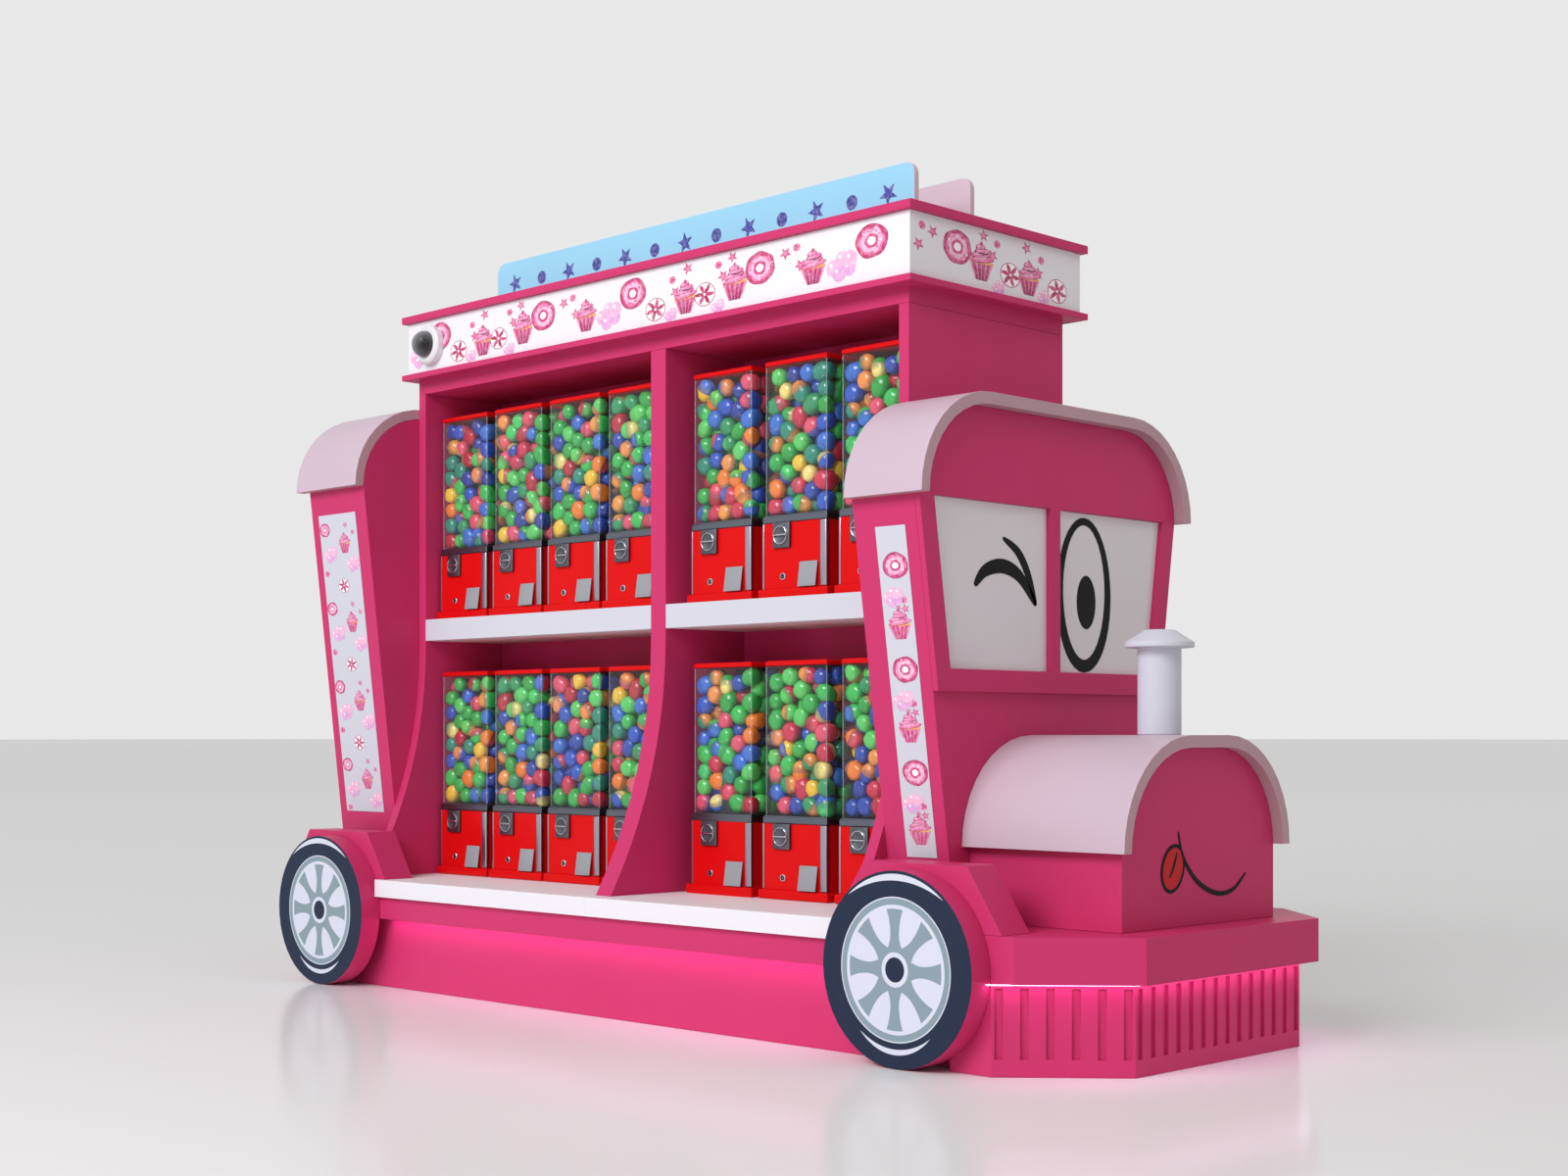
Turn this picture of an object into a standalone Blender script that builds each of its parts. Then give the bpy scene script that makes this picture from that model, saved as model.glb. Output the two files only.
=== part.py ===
"""Two-sided display kiosk shaped like a toy train, full of coin-operated capsule vending machines.

Metres, +Z up. The nose points to +X, and "right" is -Y, the side that faces a customer on the right.
The origin is on the floor, under the middle of the bounding box.

The base is a recessed plinth with slotted skirts at both ends, under a deck and two counter boards.
On it stand an open shelf unit with two bays a side, a tall cab behind it, a lower cab and a hood
with a chimney in front of it, and four fenders with decorative wheel drums.
The vending machines stand back to back on two levels. One machine, first in the front lower bay on
the right, is built from its separate working pieces. Every other machine is part of a row, which
is one body: its machines are linked at the feet.
"""

import math

import bmesh
import bpy
from mathutils import Matrix, Vector

# ---------------------------------------------------------------- clearances and stock
GAP = 0.0003  # between faces that touch
BOARD = 0.018  # panel thickness of the hollow housings
FINE_STEPS = 10  # straight runs in a quarter of a large arc

# ---------------------------------------------------------------- shelf unit, along X
UNIT_REAR_X = -1.3405
WALL = 0.037
REAR_BAY = 1.179
DIVIDER = 0.068
FRONT_BAY = 0.957

# ---------------------------------------------------------------- wheels and base
WHEEL_RADIUS = 0.253
WHEEL_WIDTH = 0.074
WHEEL_SIDES = 48
FRONT_WHEEL_AHEAD = 0.2582  # from the unit's front to the wheel's axis
REAR_WHEEL_BEHIND = 0.0915  # from the unit's rear to the wheel's axis
BASE_HALF_WIDTH = 0.620
PLINTH_HEIGHT = 0.234
PLINTH_RECESS = 0.046
PLINTH_TO_SKIRT = 0.015
BAND_HEIGHT = 0.074  # deck under the counter boards
DECK_EDGE = 0.118  # deck at its raised ends
DECK_NOSE, DECK_TAIL = 0.1103, 0.089  # beyond the hood and beyond the rear cab
DECK_RIM = 0.075
NOSE_CHAMFER = (0.242, 0.218)  # along X, along Y
TAIL_CHAMFER = (0.120, 0.120)
SKIRT_SETBACK = 0.047
SKIRT_BEHIND_WHEEL = 0.119  # from a wheel's axis to the end of a skirt's side
SLOT_WIDTH = 0.021
SLOT_PITCH = 0.0554
SLOT_DEPTH = 0.009
SLOT_BELOW, SLOT_ABOVE = 0.044, 0.014  # board left below and above a slot
SLOT_CORNER = 0.008  # shortest distance from a slot to a corner of the skirt

COUNTER_OVERHANG = 0.019
COUNTER_THICKNESS = 0.0575

FENDER_WIDTH = 0.113
FENDER_HEIGHT = 0.169
FENDER_HALF_TOP = 0.175
FENDER_HALF_BASE = 0.288

# ---------------------------------------------------------------- shelf unit, across and up
UNIT_HALF_DEPTH = 0.346
FOOT_RADIUS = 1.490
FOOT_CURVE_HEIGHT = 0.7845  # from the counter to where the feet start to curve
PARTITION = 0.020
LOWER_HEADROOM, UPPER_HEADROOM = 0.107, 0.0805  # over the machines' lids
SHELF_THICKNESS = 0.074
HEADER_HEIGHT = 0.046
CORNICE_HALF_DEPTH = 0.400
CORNICE_REACH_REAR, CORNICE_REACH_FRONT = 0.0275, 0.053
CORNICE_LOWER, CORNICE_UPPER = 0.019, 0.024
FASCIA_INSET = 0.017
FASCIA_WALL = 0.015
FASCIA_HEIGHT = 0.178
SIGN_INSET_REAR, SIGN_INSET_FRONT = 0.201, 0.2175  # from the ends of the cornice
SIGN_Y = 0.125
SIGN_THICKNESS = 0.020
SIGN_HEIGHT = 0.195
SIGN_CORNER = 0.035

# ---------------------------------------------------------------- cabs and hood
ROOF_THICKNESS = 0.033
CAB_ROOF_HALF_WIDTH = 0.610
CAB_ROOF_RADIUS = 0.285
FRONT_CAB_LENGTH = 0.2202
FRONT_CAB_WALL = 1.126  # from the deck to where the roof starts to curve
FRONT_CAB_FOOT = 0.411  # half width at the deck
FRONT_ROOF_OVERHANG = 0.055
REAR_CAB_LENGTH = 0.3325
REAR_CAB_WALL = 1.352
REAR_CAB_FOOT = 0.421
REAR_ROOF_OVERHANG = 0.034

FRAME_THICKNESS = 0.018
FRAME_ABOVE_DECK = 0.613
WINDOW_MARGIN = 0.060
MULLION = 0.045
PANE_THICKNESS = 0.003

HOOD_LENGTH = 0.494
HOOD_ROOF_OVERHANG = 0.031
HOOD_ROOF_HALF_WIDTH = 0.385
HOOD_WALL = 0.2005
HOOD_RADIUS = 0.2975
CHIMNEY_SETBACK = 0.1305  # from the hood's front to the chimney's axis
CHIMNEY_RADIUS = 0.058
CHIMNEY_HEIGHT = 0.2325
CAP_RADIUS = 0.093
CAP_BRIM = 0.0135
CAP_CONE = 0.034
CAP_TOP_RADIUS = 0.040

# ---------------------------------------------------------------- dome camera
CAMERA_FROM_REAR = 0.139  # along the fascia
CAMERA_BASE_RADIUS = 0.0665
CAMERA_BASE_DEPTH = 0.030
CAMERA_RECESS_RADIUS = 0.038
DOME_RADIUS = 0.046
DOME_WALL = 0.0025
EYE_RADIUS = 0.022
EYE_CLEARANCE = 0.0025  # from the eye to the floor of the recess behind it
EYE_PIN_RADIUS = 0.007
LENS_RADIUS = 0.009
LENS_TILT = math.radians(35)
LENS_REACH = 0.005  # out of the eye

# ---------------------------------------------------------------- vending machine
FOOT_SIZE, FOOT_HEIGHT = 0.285, 0.028
CABINET_SIZE, CABINET_HEIGHT = 0.260, 0.223
COLLAR_SIZE, COLLAR_THICKNESS = 0.263, 0.023
CANISTER_SIZE, CANISTER_LENGTH = 0.248, 0.4425
LID_SIZE, LID_THICKNESS = 0.254, 0.017
MACHINE_GAP, LEAST_MACHINE_GAP = 0.026, 0.008  # between feet: usual, and where a bay is tight
ROW_MARGIN = 0.003  # from a row's ends to the uprights
BACK_CLEARANCE = 0.008  # from a foot to the partition
LINK_WIDTH, LINK_HEIGHT = 0.120, 0.012

SHEET = 0.004  # cabinet wall
CANISTER_WALL = 0.003
LID_RIM_DEPTH = 0.008
LID_RIM_WALL = 0.004
PLATE_WIDTH, PLATE_HEIGHT, PLATE_THICKNESS = 0.069, 0.075, 0.010
PLATE_X = -0.0475  # from the machine's middle
MECHANISM_SIZE, MECHANISM_DEPTH = 0.046, 0.060
KNOB_RADIUS, KNOB_THICKNESS = 0.029, 0.010
KNOB_BAR = (0.054, 0.013, 0.010)  # length, stands out, height
SHAFT_RADIUS = 0.0060
RUNNING_CLEARANCE = 0.0007
DOOR_X = 0.061
DOOR_WIDTH, DOOR_HEIGHT, DOOR_THICKNESS = 0.072, 0.074, 0.003
DOOR_ABOVE_FOOT = 0.0015
DOOR_TILT = math.radians(8)
DOOR_KNUCKLE = 0.003
EXIT_MARGIN = 0.007  # the door covers the exit by this much all round
LOCK_X, LOCK_Z = -0.046, 0.064
LOCK_RADIUS, LOCK_REACH = 0.0115, 0.006
LOCK_BARREL_RADIUS, LOCK_BARREL_LENGTH = 0.0085, 0.022
LOCK_CAM = (0.010, 0.026, 0.003)  # width, length, thickness
DISC_CLEARANCE = 0.009  # from the dispensing wheel to the canister's wall
DISC_HEIGHT = 0.040
POCKETS, POCKET_RADIUS = 4, 0.027
HUB_RADIUS, HUB_HEIGHT = 0.020, 0.012
OUTLET_Y = 0.036  # from the machine's middle towards its front
CHUTE_DROP, CHUTE_SHEET = 0.053, 0.003  # from the collar to the chute's top
COIN_BOX = (0.100, 0.110, 0.060)
COIN_BOX_WALL = 0.003
COIN_BOX_BACK_GAP = 0.021  # to the cabinet's back wall
ROUND_SIDES = 24
SMALL_SIDES = 12

# ---------------------------------------------------------------- derived places
REAR_BAY_X = UNIT_REAR_X + WALL
DIVIDER_X = REAR_BAY_X + REAR_BAY
FRONT_BAY_X = DIVIDER_X + DIVIDER
FRONT_WALL_X = FRONT_BAY_X + FRONT_BAY
UNIT_FRONT_X = FRONT_WALL_X + WALL
FRONT_CAB_X = UNIT_FRONT_X + FRONT_CAB_LENGTH
HOOD_X = FRONT_CAB_X + HOOD_LENGTH
REAR_CAB_X = UNIT_REAR_X - REAR_CAB_LENGTH
CHIMNEY_X = HOOD_X - CHIMNEY_SETBACK
FRONT_WHEEL_X = UNIT_FRONT_X + FRONT_WHEEL_AHEAD
REAR_WHEEL_X = UNIT_REAR_X - REAR_WHEEL_BEHIND
DECK_NOSE_X = HOOD_X + DECK_NOSE
DECK_TAIL_X = REAR_CAB_X - DECK_TAIL
FRONT_SKIRT_X = FRONT_WHEEL_X + SKIRT_BEHIND_WHEEL
REAR_SKIRT_X = REAR_WHEEL_X - SKIRT_BEHIND_WHEEL
CORNICE_REAR_X = UNIT_REAR_X - CORNICE_REACH_REAR
CORNICE_FRONT_X = UNIT_FRONT_X + CORNICE_REACH_FRONT
CAMERA_X = CORNICE_REAR_X + FASCIA_INSET + CAMERA_FROM_REAR

FENDER_INNER_Y = BASE_HALF_WIDTH - FENDER_WIDTH
FASCIA_HALF_DEPTH = CORNICE_HALF_DEPTH - FASCIA_INSET
MACHINE_Y = PARTITION / 2 + BACK_CLEARANCE + FOOT_SIZE / 2

COLLAR_HEIGHT = CABINET_HEIGHT + COLLAR_THICKNESS
CANISTER_HEIGHT = COLLAR_HEIGHT + CANISTER_LENGTH
LID_HEIGHT = CANISTER_HEIGHT + LID_THICKNESS

DECK_TOP = PLINTH_HEIGHT + DECK_EDGE
BAND_TOP = PLINTH_HEIGHT + BAND_HEIGHT
COUNTER_TOP = BAND_TOP + COUNTER_THICKNESS
SHELF_LOW = COUNTER_TOP + LID_HEIGHT + LOWER_HEADROOM
SHELF_HIGH = SHELF_LOW + SHELF_THICKNESS
UNIT_WALL_TOP = SHELF_HIGH + LID_HEIGHT + UPPER_HEADROOM
HEADER_TOP = UNIT_WALL_TOP + HEADER_HEIGHT
CORNICE_LOWER_TOP = HEADER_TOP + CORNICE_LOWER
FASCIA_TOP = CORNICE_LOWER_TOP + FASCIA_HEIGHT
CORNICE_CAP_TOP = FASCIA_TOP + CORNICE_UPPER
SIGN_TOP = CORNICE_CAP_TOP + SIGN_HEIGHT
CAMERA_Z = (CORNICE_LOWER_TOP + FASCIA_TOP) / 2
FRONT_CAB_SPRING = DECK_TOP + FRONT_CAB_WALL
REAR_CAB_SPRING = DECK_TOP + REAR_CAB_WALL
HOOD_SPRING = DECK_TOP + HOOD_WALL
FRAME_LOW = DECK_TOP + FRAME_ABOVE_DECK
WINDOW_LOW, WINDOW_HIGH = FRAME_LOW + WINDOW_MARGIN, FRONT_CAB_SPRING
FENDER_TOP = DECK_TOP + FENDER_HEIGHT

LIP_REACH = math.sqrt(WHEEL_RADIUS**2 - (WHEEL_RADIUS - BAND_TOP) ** 2)
COUNTER_REAR_X = REAR_WHEEL_X + LIP_REACH + GAP
COUNTER_FRONT_X = FRONT_WHEEL_X - LIP_REACH - GAP

DOOR_PIVOT_Z = FOOT_HEIGHT + DOOR_ABOVE_FOOT + DOOR_HEIGHT
DISC_RADIUS = CANISTER_SIZE / 2 - CANISTER_WALL - DISC_CLEARANCE
POCKET_CIRCLE = math.hypot(DOOR_X, OUTLET_Y)
OUTLET_ANGLE = -math.atan2(OUTLET_Y, DOOR_X)
EXIT_HALF_WIDTH = DOOR_WIDTH / 2 - EXIT_MARGIN
COIN_BOX_Y = CABINET_SIZE / 2 - SHEET - COIN_BOX_BACK_GAP - COIN_BOX[1] / 2

# ---------------------------------------------------------------- finishes: colour, roughness, metallic
PINK = ((0.60, 0.045, 0.16), 0.38, 0.0)
PALE_PINK = ((0.66, 0.52, 0.58), 0.42, 0.0)
WHITE = ((0.80, 0.80, 0.85), 0.35, 0.0)
PALE_BLUE = ((0.34, 0.67, 0.92), 0.40, 0.0)
PANE = ((0.46, 0.43, 0.44), 0.30, 0.0)
RED = ((0.74, 0.008, 0.010), 0.28, 0.0)
STEEL = ((0.30, 0.31, 0.34), 0.30, 1.0)
CLEAR = ((0.75, 0.80, 0.82), 0.08, 0.0)
SMOKED = ((0.05, 0.05, 0.06), 0.08, 0.0)
BLACK = ((0.02, 0.02, 0.02), 0.40, 0.0)
NAVY = ((0.020, 0.032, 0.075), 0.45, 0.0)


# ================================================================ helpers
def arc(centre, radius, start, end, steps):
    """Points of an arc from one angle to another, in degrees, with both ends."""
    angles = [math.radians(start + (end - start) * i / steps) for i in range(steps + 1)]
    return [(centre[0] + radius * math.cos(a), centre[1] + radius * math.sin(a)) for a in angles]


def arch(half_width, spring, radius):
    """An arch over Y, from its left foot over two rounded shoulders to its right foot."""
    shoulder = half_width - radius
    left = arc((shoulder, spring), radius, 0, 90, FINE_STEPS)
    return left + arc((-shoulder, spring), radius, 90, 180, FINE_STEPS)


def mirrored(half):
    """A closed outline from its half on the +Y side, given from rear to front."""
    return half + [(x, -y) for x, y in reversed(half)]


def inset(outline, distances):
    """An outline moved inwards, edge by edge. Counter-clockwise; distances[i] is that of edge i, i + 1."""
    count = len(outline)
    lines = []
    for i, distance in enumerate(distances):
        start, end = Vector(outline[i]), Vector(outline[(i + 1) % count])
        along = (end - start).normalized()
        lines.append((start + Vector((-along.y, along.x)) * distance, along))
    points = []
    for i in range(count):
        (p, u), (q, v) = lines[i - 1], lines[i]
        share = (q - p).cross(v) / u.cross(v)
        points.append(tuple(p + u * share))
    return points


def add_box(bm, low, high):
    """A box between two corners."""
    low, high = Vector(low), Vector(high)
    size = Matrix.Diagonal((*(high - low), 1))
    bmesh.ops.create_cube(bm, size=1, matrix=Matrix.Translation((low + high) / 2) @ size)


def add_prism(bm, outline, axis, start, end):
    """An outline extruded along X, Y or Z. Its points are (y, z), (x, z) or (x, y)."""
    place = {
        "X": lambda a, b: (start, a, b),
        "Y": lambda a, b: (a, start, b),
        "Z": lambda a, b: (a, b, start),
    }[axis]
    face = bm.faces.new([bm.verts.new(place(a, b)) for a, b in outline])
    grown = bmesh.ops.extrude_face_region(bm, geom=[face])
    tip = [v for v in grown["geom"] if isinstance(v, bmesh.types.BMVert)]
    step = Vector([end - start if letter == axis else 0 for letter in "XYZ"])
    bmesh.ops.translate(bm, vec=step, verts=tip)


def add_tower(bm, x, y, floor, levels):
    """Square blocks on one axis, one on the other. Each level is (size, top)."""
    rings = []
    bottom = floor
    for size, top in levels:
        half = size / 2
        corners = [(x - half, y - half), (x + half, y - half), (x + half, y + half), (x - half, y + half)]
        for height in (bottom, floor + top):
            rings.append([bm.verts.new((*corner, height)) for corner in corners])
        bottom = floor + top
    bm.faces.new(rings[0])
    bm.faces.new(rings[-1])
    for lower, upper in zip(rings, rings[1:]):
        for i in range(4):
            bm.faces.new((lower[i], lower[i - 1], upper[i - 1], upper[i]))


def add_drum(bm, centre, radius, length, axis, sides=ROUND_SIDES):
    """A cylinder along X, Y or Z, centred on a point."""
    turn = {"X": Matrix.Rotation(math.pi / 2, 4, "Y"), "Y": Matrix.Rotation(math.pi / 2, 4, "X")}
    matrix = Matrix.Translation(centre) @ turn.get(axis, Matrix.Identity(4))
    bmesh.ops.create_cone(
        bm, cap_ends=True, segments=sides, radius1=radius, radius2=radius, depth=length, matrix=matrix
    )


def add_turned(bm, profile, centre, axis=(0, 0, 1), sides=ROUND_SIDES):
    """A turned shape, alone in its bmesh. Its profile is (radius, height), from the axis to the axis."""
    verts = [bm.verts.new((radius, 0, height)) for radius, height in profile]
    edges = [bm.edges.new(pair) for pair in zip(verts, verts[1:])]
    bmesh.ops.spin(
        bm, geom=verts + edges, cent=(0, 0, 0), axis=(0, 0, 1), angle=2 * math.pi, steps=sides, use_merge=True
    )
    bmesh.ops.remove_doubles(bm, verts=bm.verts, dist=1e-5)
    turn = Vector((0, 0, 1)).rotation_difference(Vector(axis)).to_matrix().to_4x4()
    bmesh.ops.transform(bm, matrix=Matrix.Translation(centre) @ turn, verts=bm.verts)


def make(name, bm, finish, pivot=(0, 0, 0), smooth=False):
    """An object from a bmesh in world coordinates, with its origin at the pivot and its own material."""
    bmesh.ops.recalc_face_normals(bm, faces=bm.faces)
    bmesh.ops.translate(bm, vec=-Vector(pivot), verts=bm.verts)
    mesh = bpy.data.meshes.new(name)
    bm.to_mesh(mesh)
    bm.free()
    if smooth:
        mesh.shade_smooth()
        mesh.set_sharp_from_angle(angle=math.radians(35))
    obj = bpy.data.objects.new(name, mesh)
    obj.location = pivot
    bpy.context.scene.collection.objects.link(obj)
    if finish:
        colour, roughness, metallic = finish
        material = bpy.data.materials.new(name)
        material.use_nodes = True
        shader = material.node_tree.nodes["Principled BSDF"]
        shader.inputs["Base Color"].default_value = (*colour, 1)
        shader.inputs["Roughness"].default_value = roughness
        shader.inputs["Metallic"].default_value = metallic
        mesh.materials.append(material)
    return obj


def combine(obj, bm, operation):
    """A Boolean with a hidden helper made from a bmesh in world coordinates."""
    helper = make(f"{obj.name}_{operation.lower()}_{len(obj.modifiers)}", bm, None)
    helper.hide_render = True
    helper.display_type = "WIRE"
    modifier = obj.modifiers.new(helper.name, "BOOLEAN")
    modifier.operation = operation
    modifier.solver = "EXACT"
    modifier.object = helper


def clear_scene():
    for obj in list(bpy.data.objects):
        bpy.data.objects.remove(obj)


# ================================================================ base
def deck_outline():
    """The deck from above, counter-clockwise from the tail's left corner."""
    half = [
        (DECK_TAIL_X, BASE_HALF_WIDTH - TAIL_CHAMFER[1]),
        (DECK_TAIL_X + TAIL_CHAMFER[0], BASE_HALF_WIDTH),
        (DECK_NOSE_X - NOSE_CHAMFER[0], BASE_HALF_WIDTH),
        (DECK_NOSE_X, BASE_HALF_WIDTH - NOSE_CHAMFER[1]),
    ]
    return list(reversed(mirrored(half)))


def skirt_outline():
    """The outer line of both skirts: the deck's, set back all round except along the sides."""
    outline = deck_outline()
    along_side = [abs(a[1] - b[1]) < 1e-9 for a, b in zip(outline, outline[1:] + outline[:1])]
    return inset(outline, [0 if side else SKIRT_SETBACK for side in along_side])


def build_plinth():
    """Four boards under the deck, open below."""
    rear, front = REAR_SKIRT_X + PLINTH_TO_SKIRT, FRONT_SKIRT_X - PLINTH_TO_SKIRT
    half = BASE_HALF_WIDTH - PLINTH_RECESS
    bm = bmesh.new()
    add_box(bm, (rear, -half, 0), (front, half, PLINTH_HEIGHT - GAP))
    plinth = make("plinth", bm, PINK)
    inner = bmesh.new()
    low = (rear + BOARD, BOARD - half, -BOARD)
    add_box(inner, low, (front - BOARD, half - BOARD, PLINTH_HEIGHT + BOARD))
    combine(plinth, inner, "DIFFERENCE")


def slots_on_edge(bm, start, end):
    """Blind slots in a standing board, spread evenly from one corner to the other."""
    start, end = Vector((*start, 0)), Vector((*end, 0))
    run = (end - start).length
    along = (end - start).normalized()
    outwards = along.cross(Vector((0, 0, 1)))
    room = run - 2 * SLOT_CORNER - SLOT_WIDTH
    count = int(room / SLOT_PITCH) + 1
    low, high = SLOT_BELOW, PLINTH_HEIGHT - SLOT_ABOVE
    for i in range(count):
        middle = run / 2 + (i - (count - 1) / 2) * room / max(count - 1, 1)
        centre = start + along * middle + Vector((0, 0, (low + high) / 2))
        turn = Matrix((along, outwards, (0, 0, 1))).transposed().to_4x4()
        size = Matrix.Diagonal((SLOT_WIDTH, 2 * SLOT_DEPTH, high - low, 1))
        bmesh.ops.create_cube(bm, size=1, matrix=Matrix.Translation(centre) @ turn @ size)


def build_skirt(name, direction, side_end):
    """A skirt of boards round one end of the base, with blind slots all round."""
    ahead = [p for p in skirt_outline() if p[0] * direction > 0]
    ahead.sort(key=lambda p: math.atan2(direction * p[1], direction * p[0]))
    closed = [(side_end, ahead[0][1]), *ahead, (side_end, ahead[-1][1])]
    inner = inset(closed, [BOARD] * (len(closed) - 1) + [-BOARD])
    bm = bmesh.new()
    add_prism(bm, closed, "Z", 0, PLINTH_HEIGHT - GAP)
    skirt = make(name, bm, PINK)
    hollow = bmesh.new()
    add_prism(hollow, inner, "Z", -BOARD, PLINTH_HEIGHT + BOARD)
    combine(skirt, hollow, "DIFFERENCE")
    slots = bmesh.new()
    for start, end in zip(ahead, ahead[1:]):
        slots_on_edge(slots, start, end)
    combine(skirt, slots, "DIFFERENCE")


def build_deck():
    """The slab over plinth and skirts: raised at both ends, lower under the counters, hollow below."""
    outline = deck_outline()
    bm = bmesh.new()
    add_prism(bm, outline, "Z", PLINTH_HEIGHT, DECK_TOP)
    deck = make("base_deck", bm, PINK)
    cuts = bmesh.new()
    low = (COUNTER_REAR_X - GAP, -2 * BASE_HALF_WIDTH, BAND_TOP)
    add_box(cuts, low, (COUNTER_FRONT_X + GAP, 2 * BASE_HALF_WIDTH, 2 * DECK_TOP))
    add_prism(cuts, inset(outline, [DECK_RIM] * len(outline)), "Z", 0, BAND_TOP - BOARD)
    combine(deck, cuts, "DIFFERENCE")


def build_counters():
    """Two white boards that butt at a seam. Their lips stop at the wheel drums; a thinner tongue
    between the fenders carries a board on to the end of the shelf unit where that reaches further."""
    middle = DIVIDER_X + DIVIDER / 2
    spans = {
        "counter_rear": (COUNTER_REAR_X, middle - GAP / 2, UNIT_REAR_X),
        "counter_front": (COUNTER_FRONT_X, middle + GAP / 2, UNIT_FRONT_X),
    }
    for name, (lip, seam, unit_end) in spans.items():
        bm = bmesh.new()
        half = BASE_HALF_WIDTH + COUNTER_OVERHANG
        add_box(bm, (min(lip, seam), -half, BAND_TOP + GAP), (max(lip, seam), half, COUNTER_TOP))
        counter = make(name, bm, WHITE)
        if abs(unit_end) > abs(lip):
            tongue = bmesh.new()
            ends = sorted((unit_end, (lip + seam) / 2))
            half = FENDER_INNER_Y - GAP
            add_box(tongue, (ends[0], -half, DECK_TOP + GAP), (ends[1], half, COUNTER_TOP))
            combine(counter, tongue, "UNION")


def build_fender(name, side, wheel_x, towards_middle):
    """A sloped box over a wheel drum. It steps up where it stands on the counter board."""
    on_deck, on_counter = DECK_TOP + GAP, COUNTER_TOP + GAP
    edge = COUNTER_FRONT_X + GAP if towards_middle < 0 else COUNTER_REAR_X - GAP
    slope = (FENDER_HALF_BASE - FENDER_HALF_TOP) / (FENDER_TOP - DECK_TOP)
    reach = FENDER_HALF_TOP + slope * (FENDER_TOP - on_counter)
    outline = [
        (wheel_x - towards_middle * FENDER_HALF_BASE, on_deck),
        (wheel_x - towards_middle * FENDER_HALF_TOP, FENDER_TOP),
        (wheel_x + towards_middle * FENDER_HALF_TOP, FENDER_TOP),
        (wheel_x + towards_middle * reach, on_counter),
        (edge, on_counter),
        (edge, on_deck),
    ]
    bm = bmesh.new()
    add_prism(bm, outline, "Y", side * FENDER_INNER_Y, side * BASE_HALF_WIDTH)
    make(name, bm, PINK)


def build_wheel(name, side, wheel_x):
    """A thick round disc against the side of the base. It is decoration and doesn't turn."""
    bm = bmesh.new()
    centre_y = side * (BASE_HALF_WIDTH + GAP + WHEEL_WIDTH / 2)
    add_drum(bm, (wheel_x, centre_y, WHEEL_RADIUS), WHEEL_RADIUS, WHEEL_WIDTH, "Y", WHEEL_SIDES)
    make(name, bm, NAVY, pivot=(wheel_x, centre_y, WHEEL_RADIUS), smooth=True)


# ================================================================ shelf unit
def upright_outline(widest):
    """An upright seen along X: straight sides above, feet that curve outwards as far as a limit."""
    floor = COUNTER_TOP + GAP
    centre_y = UNIT_HALF_DEPTH + FOOT_RADIUS
    tangent = COUNTER_TOP + FOOT_CURVE_HEIGHT
    to_floor = math.degrees(math.asin((tangent - floor) / FOOT_RADIUS))
    to_limit = math.degrees(math.acos((centre_y - widest) / FOOT_RADIUS))
    reach = min(to_floor, to_limit)
    curve = arc((centre_y, tangent), FOOT_RADIUS, 180 + reach, 180, FINE_STEPS)
    foot = [(curve[0][0], floor)] if to_limit < to_floor else []
    half = [*foot, *curve, (UNIT_HALF_DEPTH, UNIT_WALL_TOP)]
    return [*half, *[(-y, z) for y, z in reversed(half)]]


def build_uprights():
    """Both end walls, which stand between the fenders, and the divider between the bays."""
    far = 2 * BASE_HALF_WIDTH
    between_fenders = FENDER_INNER_Y - GAP
    uprights = {
        "end_wall_rear": (UNIT_REAR_X, REAR_BAY_X, between_fenders),
        "divider": (DIVIDER_X, FRONT_BAY_X, far),
        "end_wall_front": (FRONT_WALL_X, UNIT_FRONT_X, between_fenders),
    }
    for name, (rear, front, widest) in uprights.items():
        bm = bmesh.new()
        add_prism(bm, upright_outline(widest), "X", rear, front)
        make(name, bm, PINK)


def build_bay(name, rear, front):
    """A bay's partition along the middle and its two shelf boards."""
    bm = bmesh.new()
    low = (rear + GAP, -PARTITION / 2, COUNTER_TOP + GAP)
    add_box(bm, low, (front - GAP, PARTITION / 2, UNIT_WALL_TOP))
    make(f"partition_{name}", bm, PINK)
    for side_name, side in (("right", -1), ("left", 1)):
        bm = bmesh.new()
        edges = sorted((side * (PARTITION / 2 + GAP), side * UNIT_HALF_DEPTH))
        add_box(bm, (rear + GAP, edges[0], SHELF_LOW), (front - GAP, edges[1], SHELF_HIGH))
        make(f"shelf_{name}_{side_name}", bm, WHITE)


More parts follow.
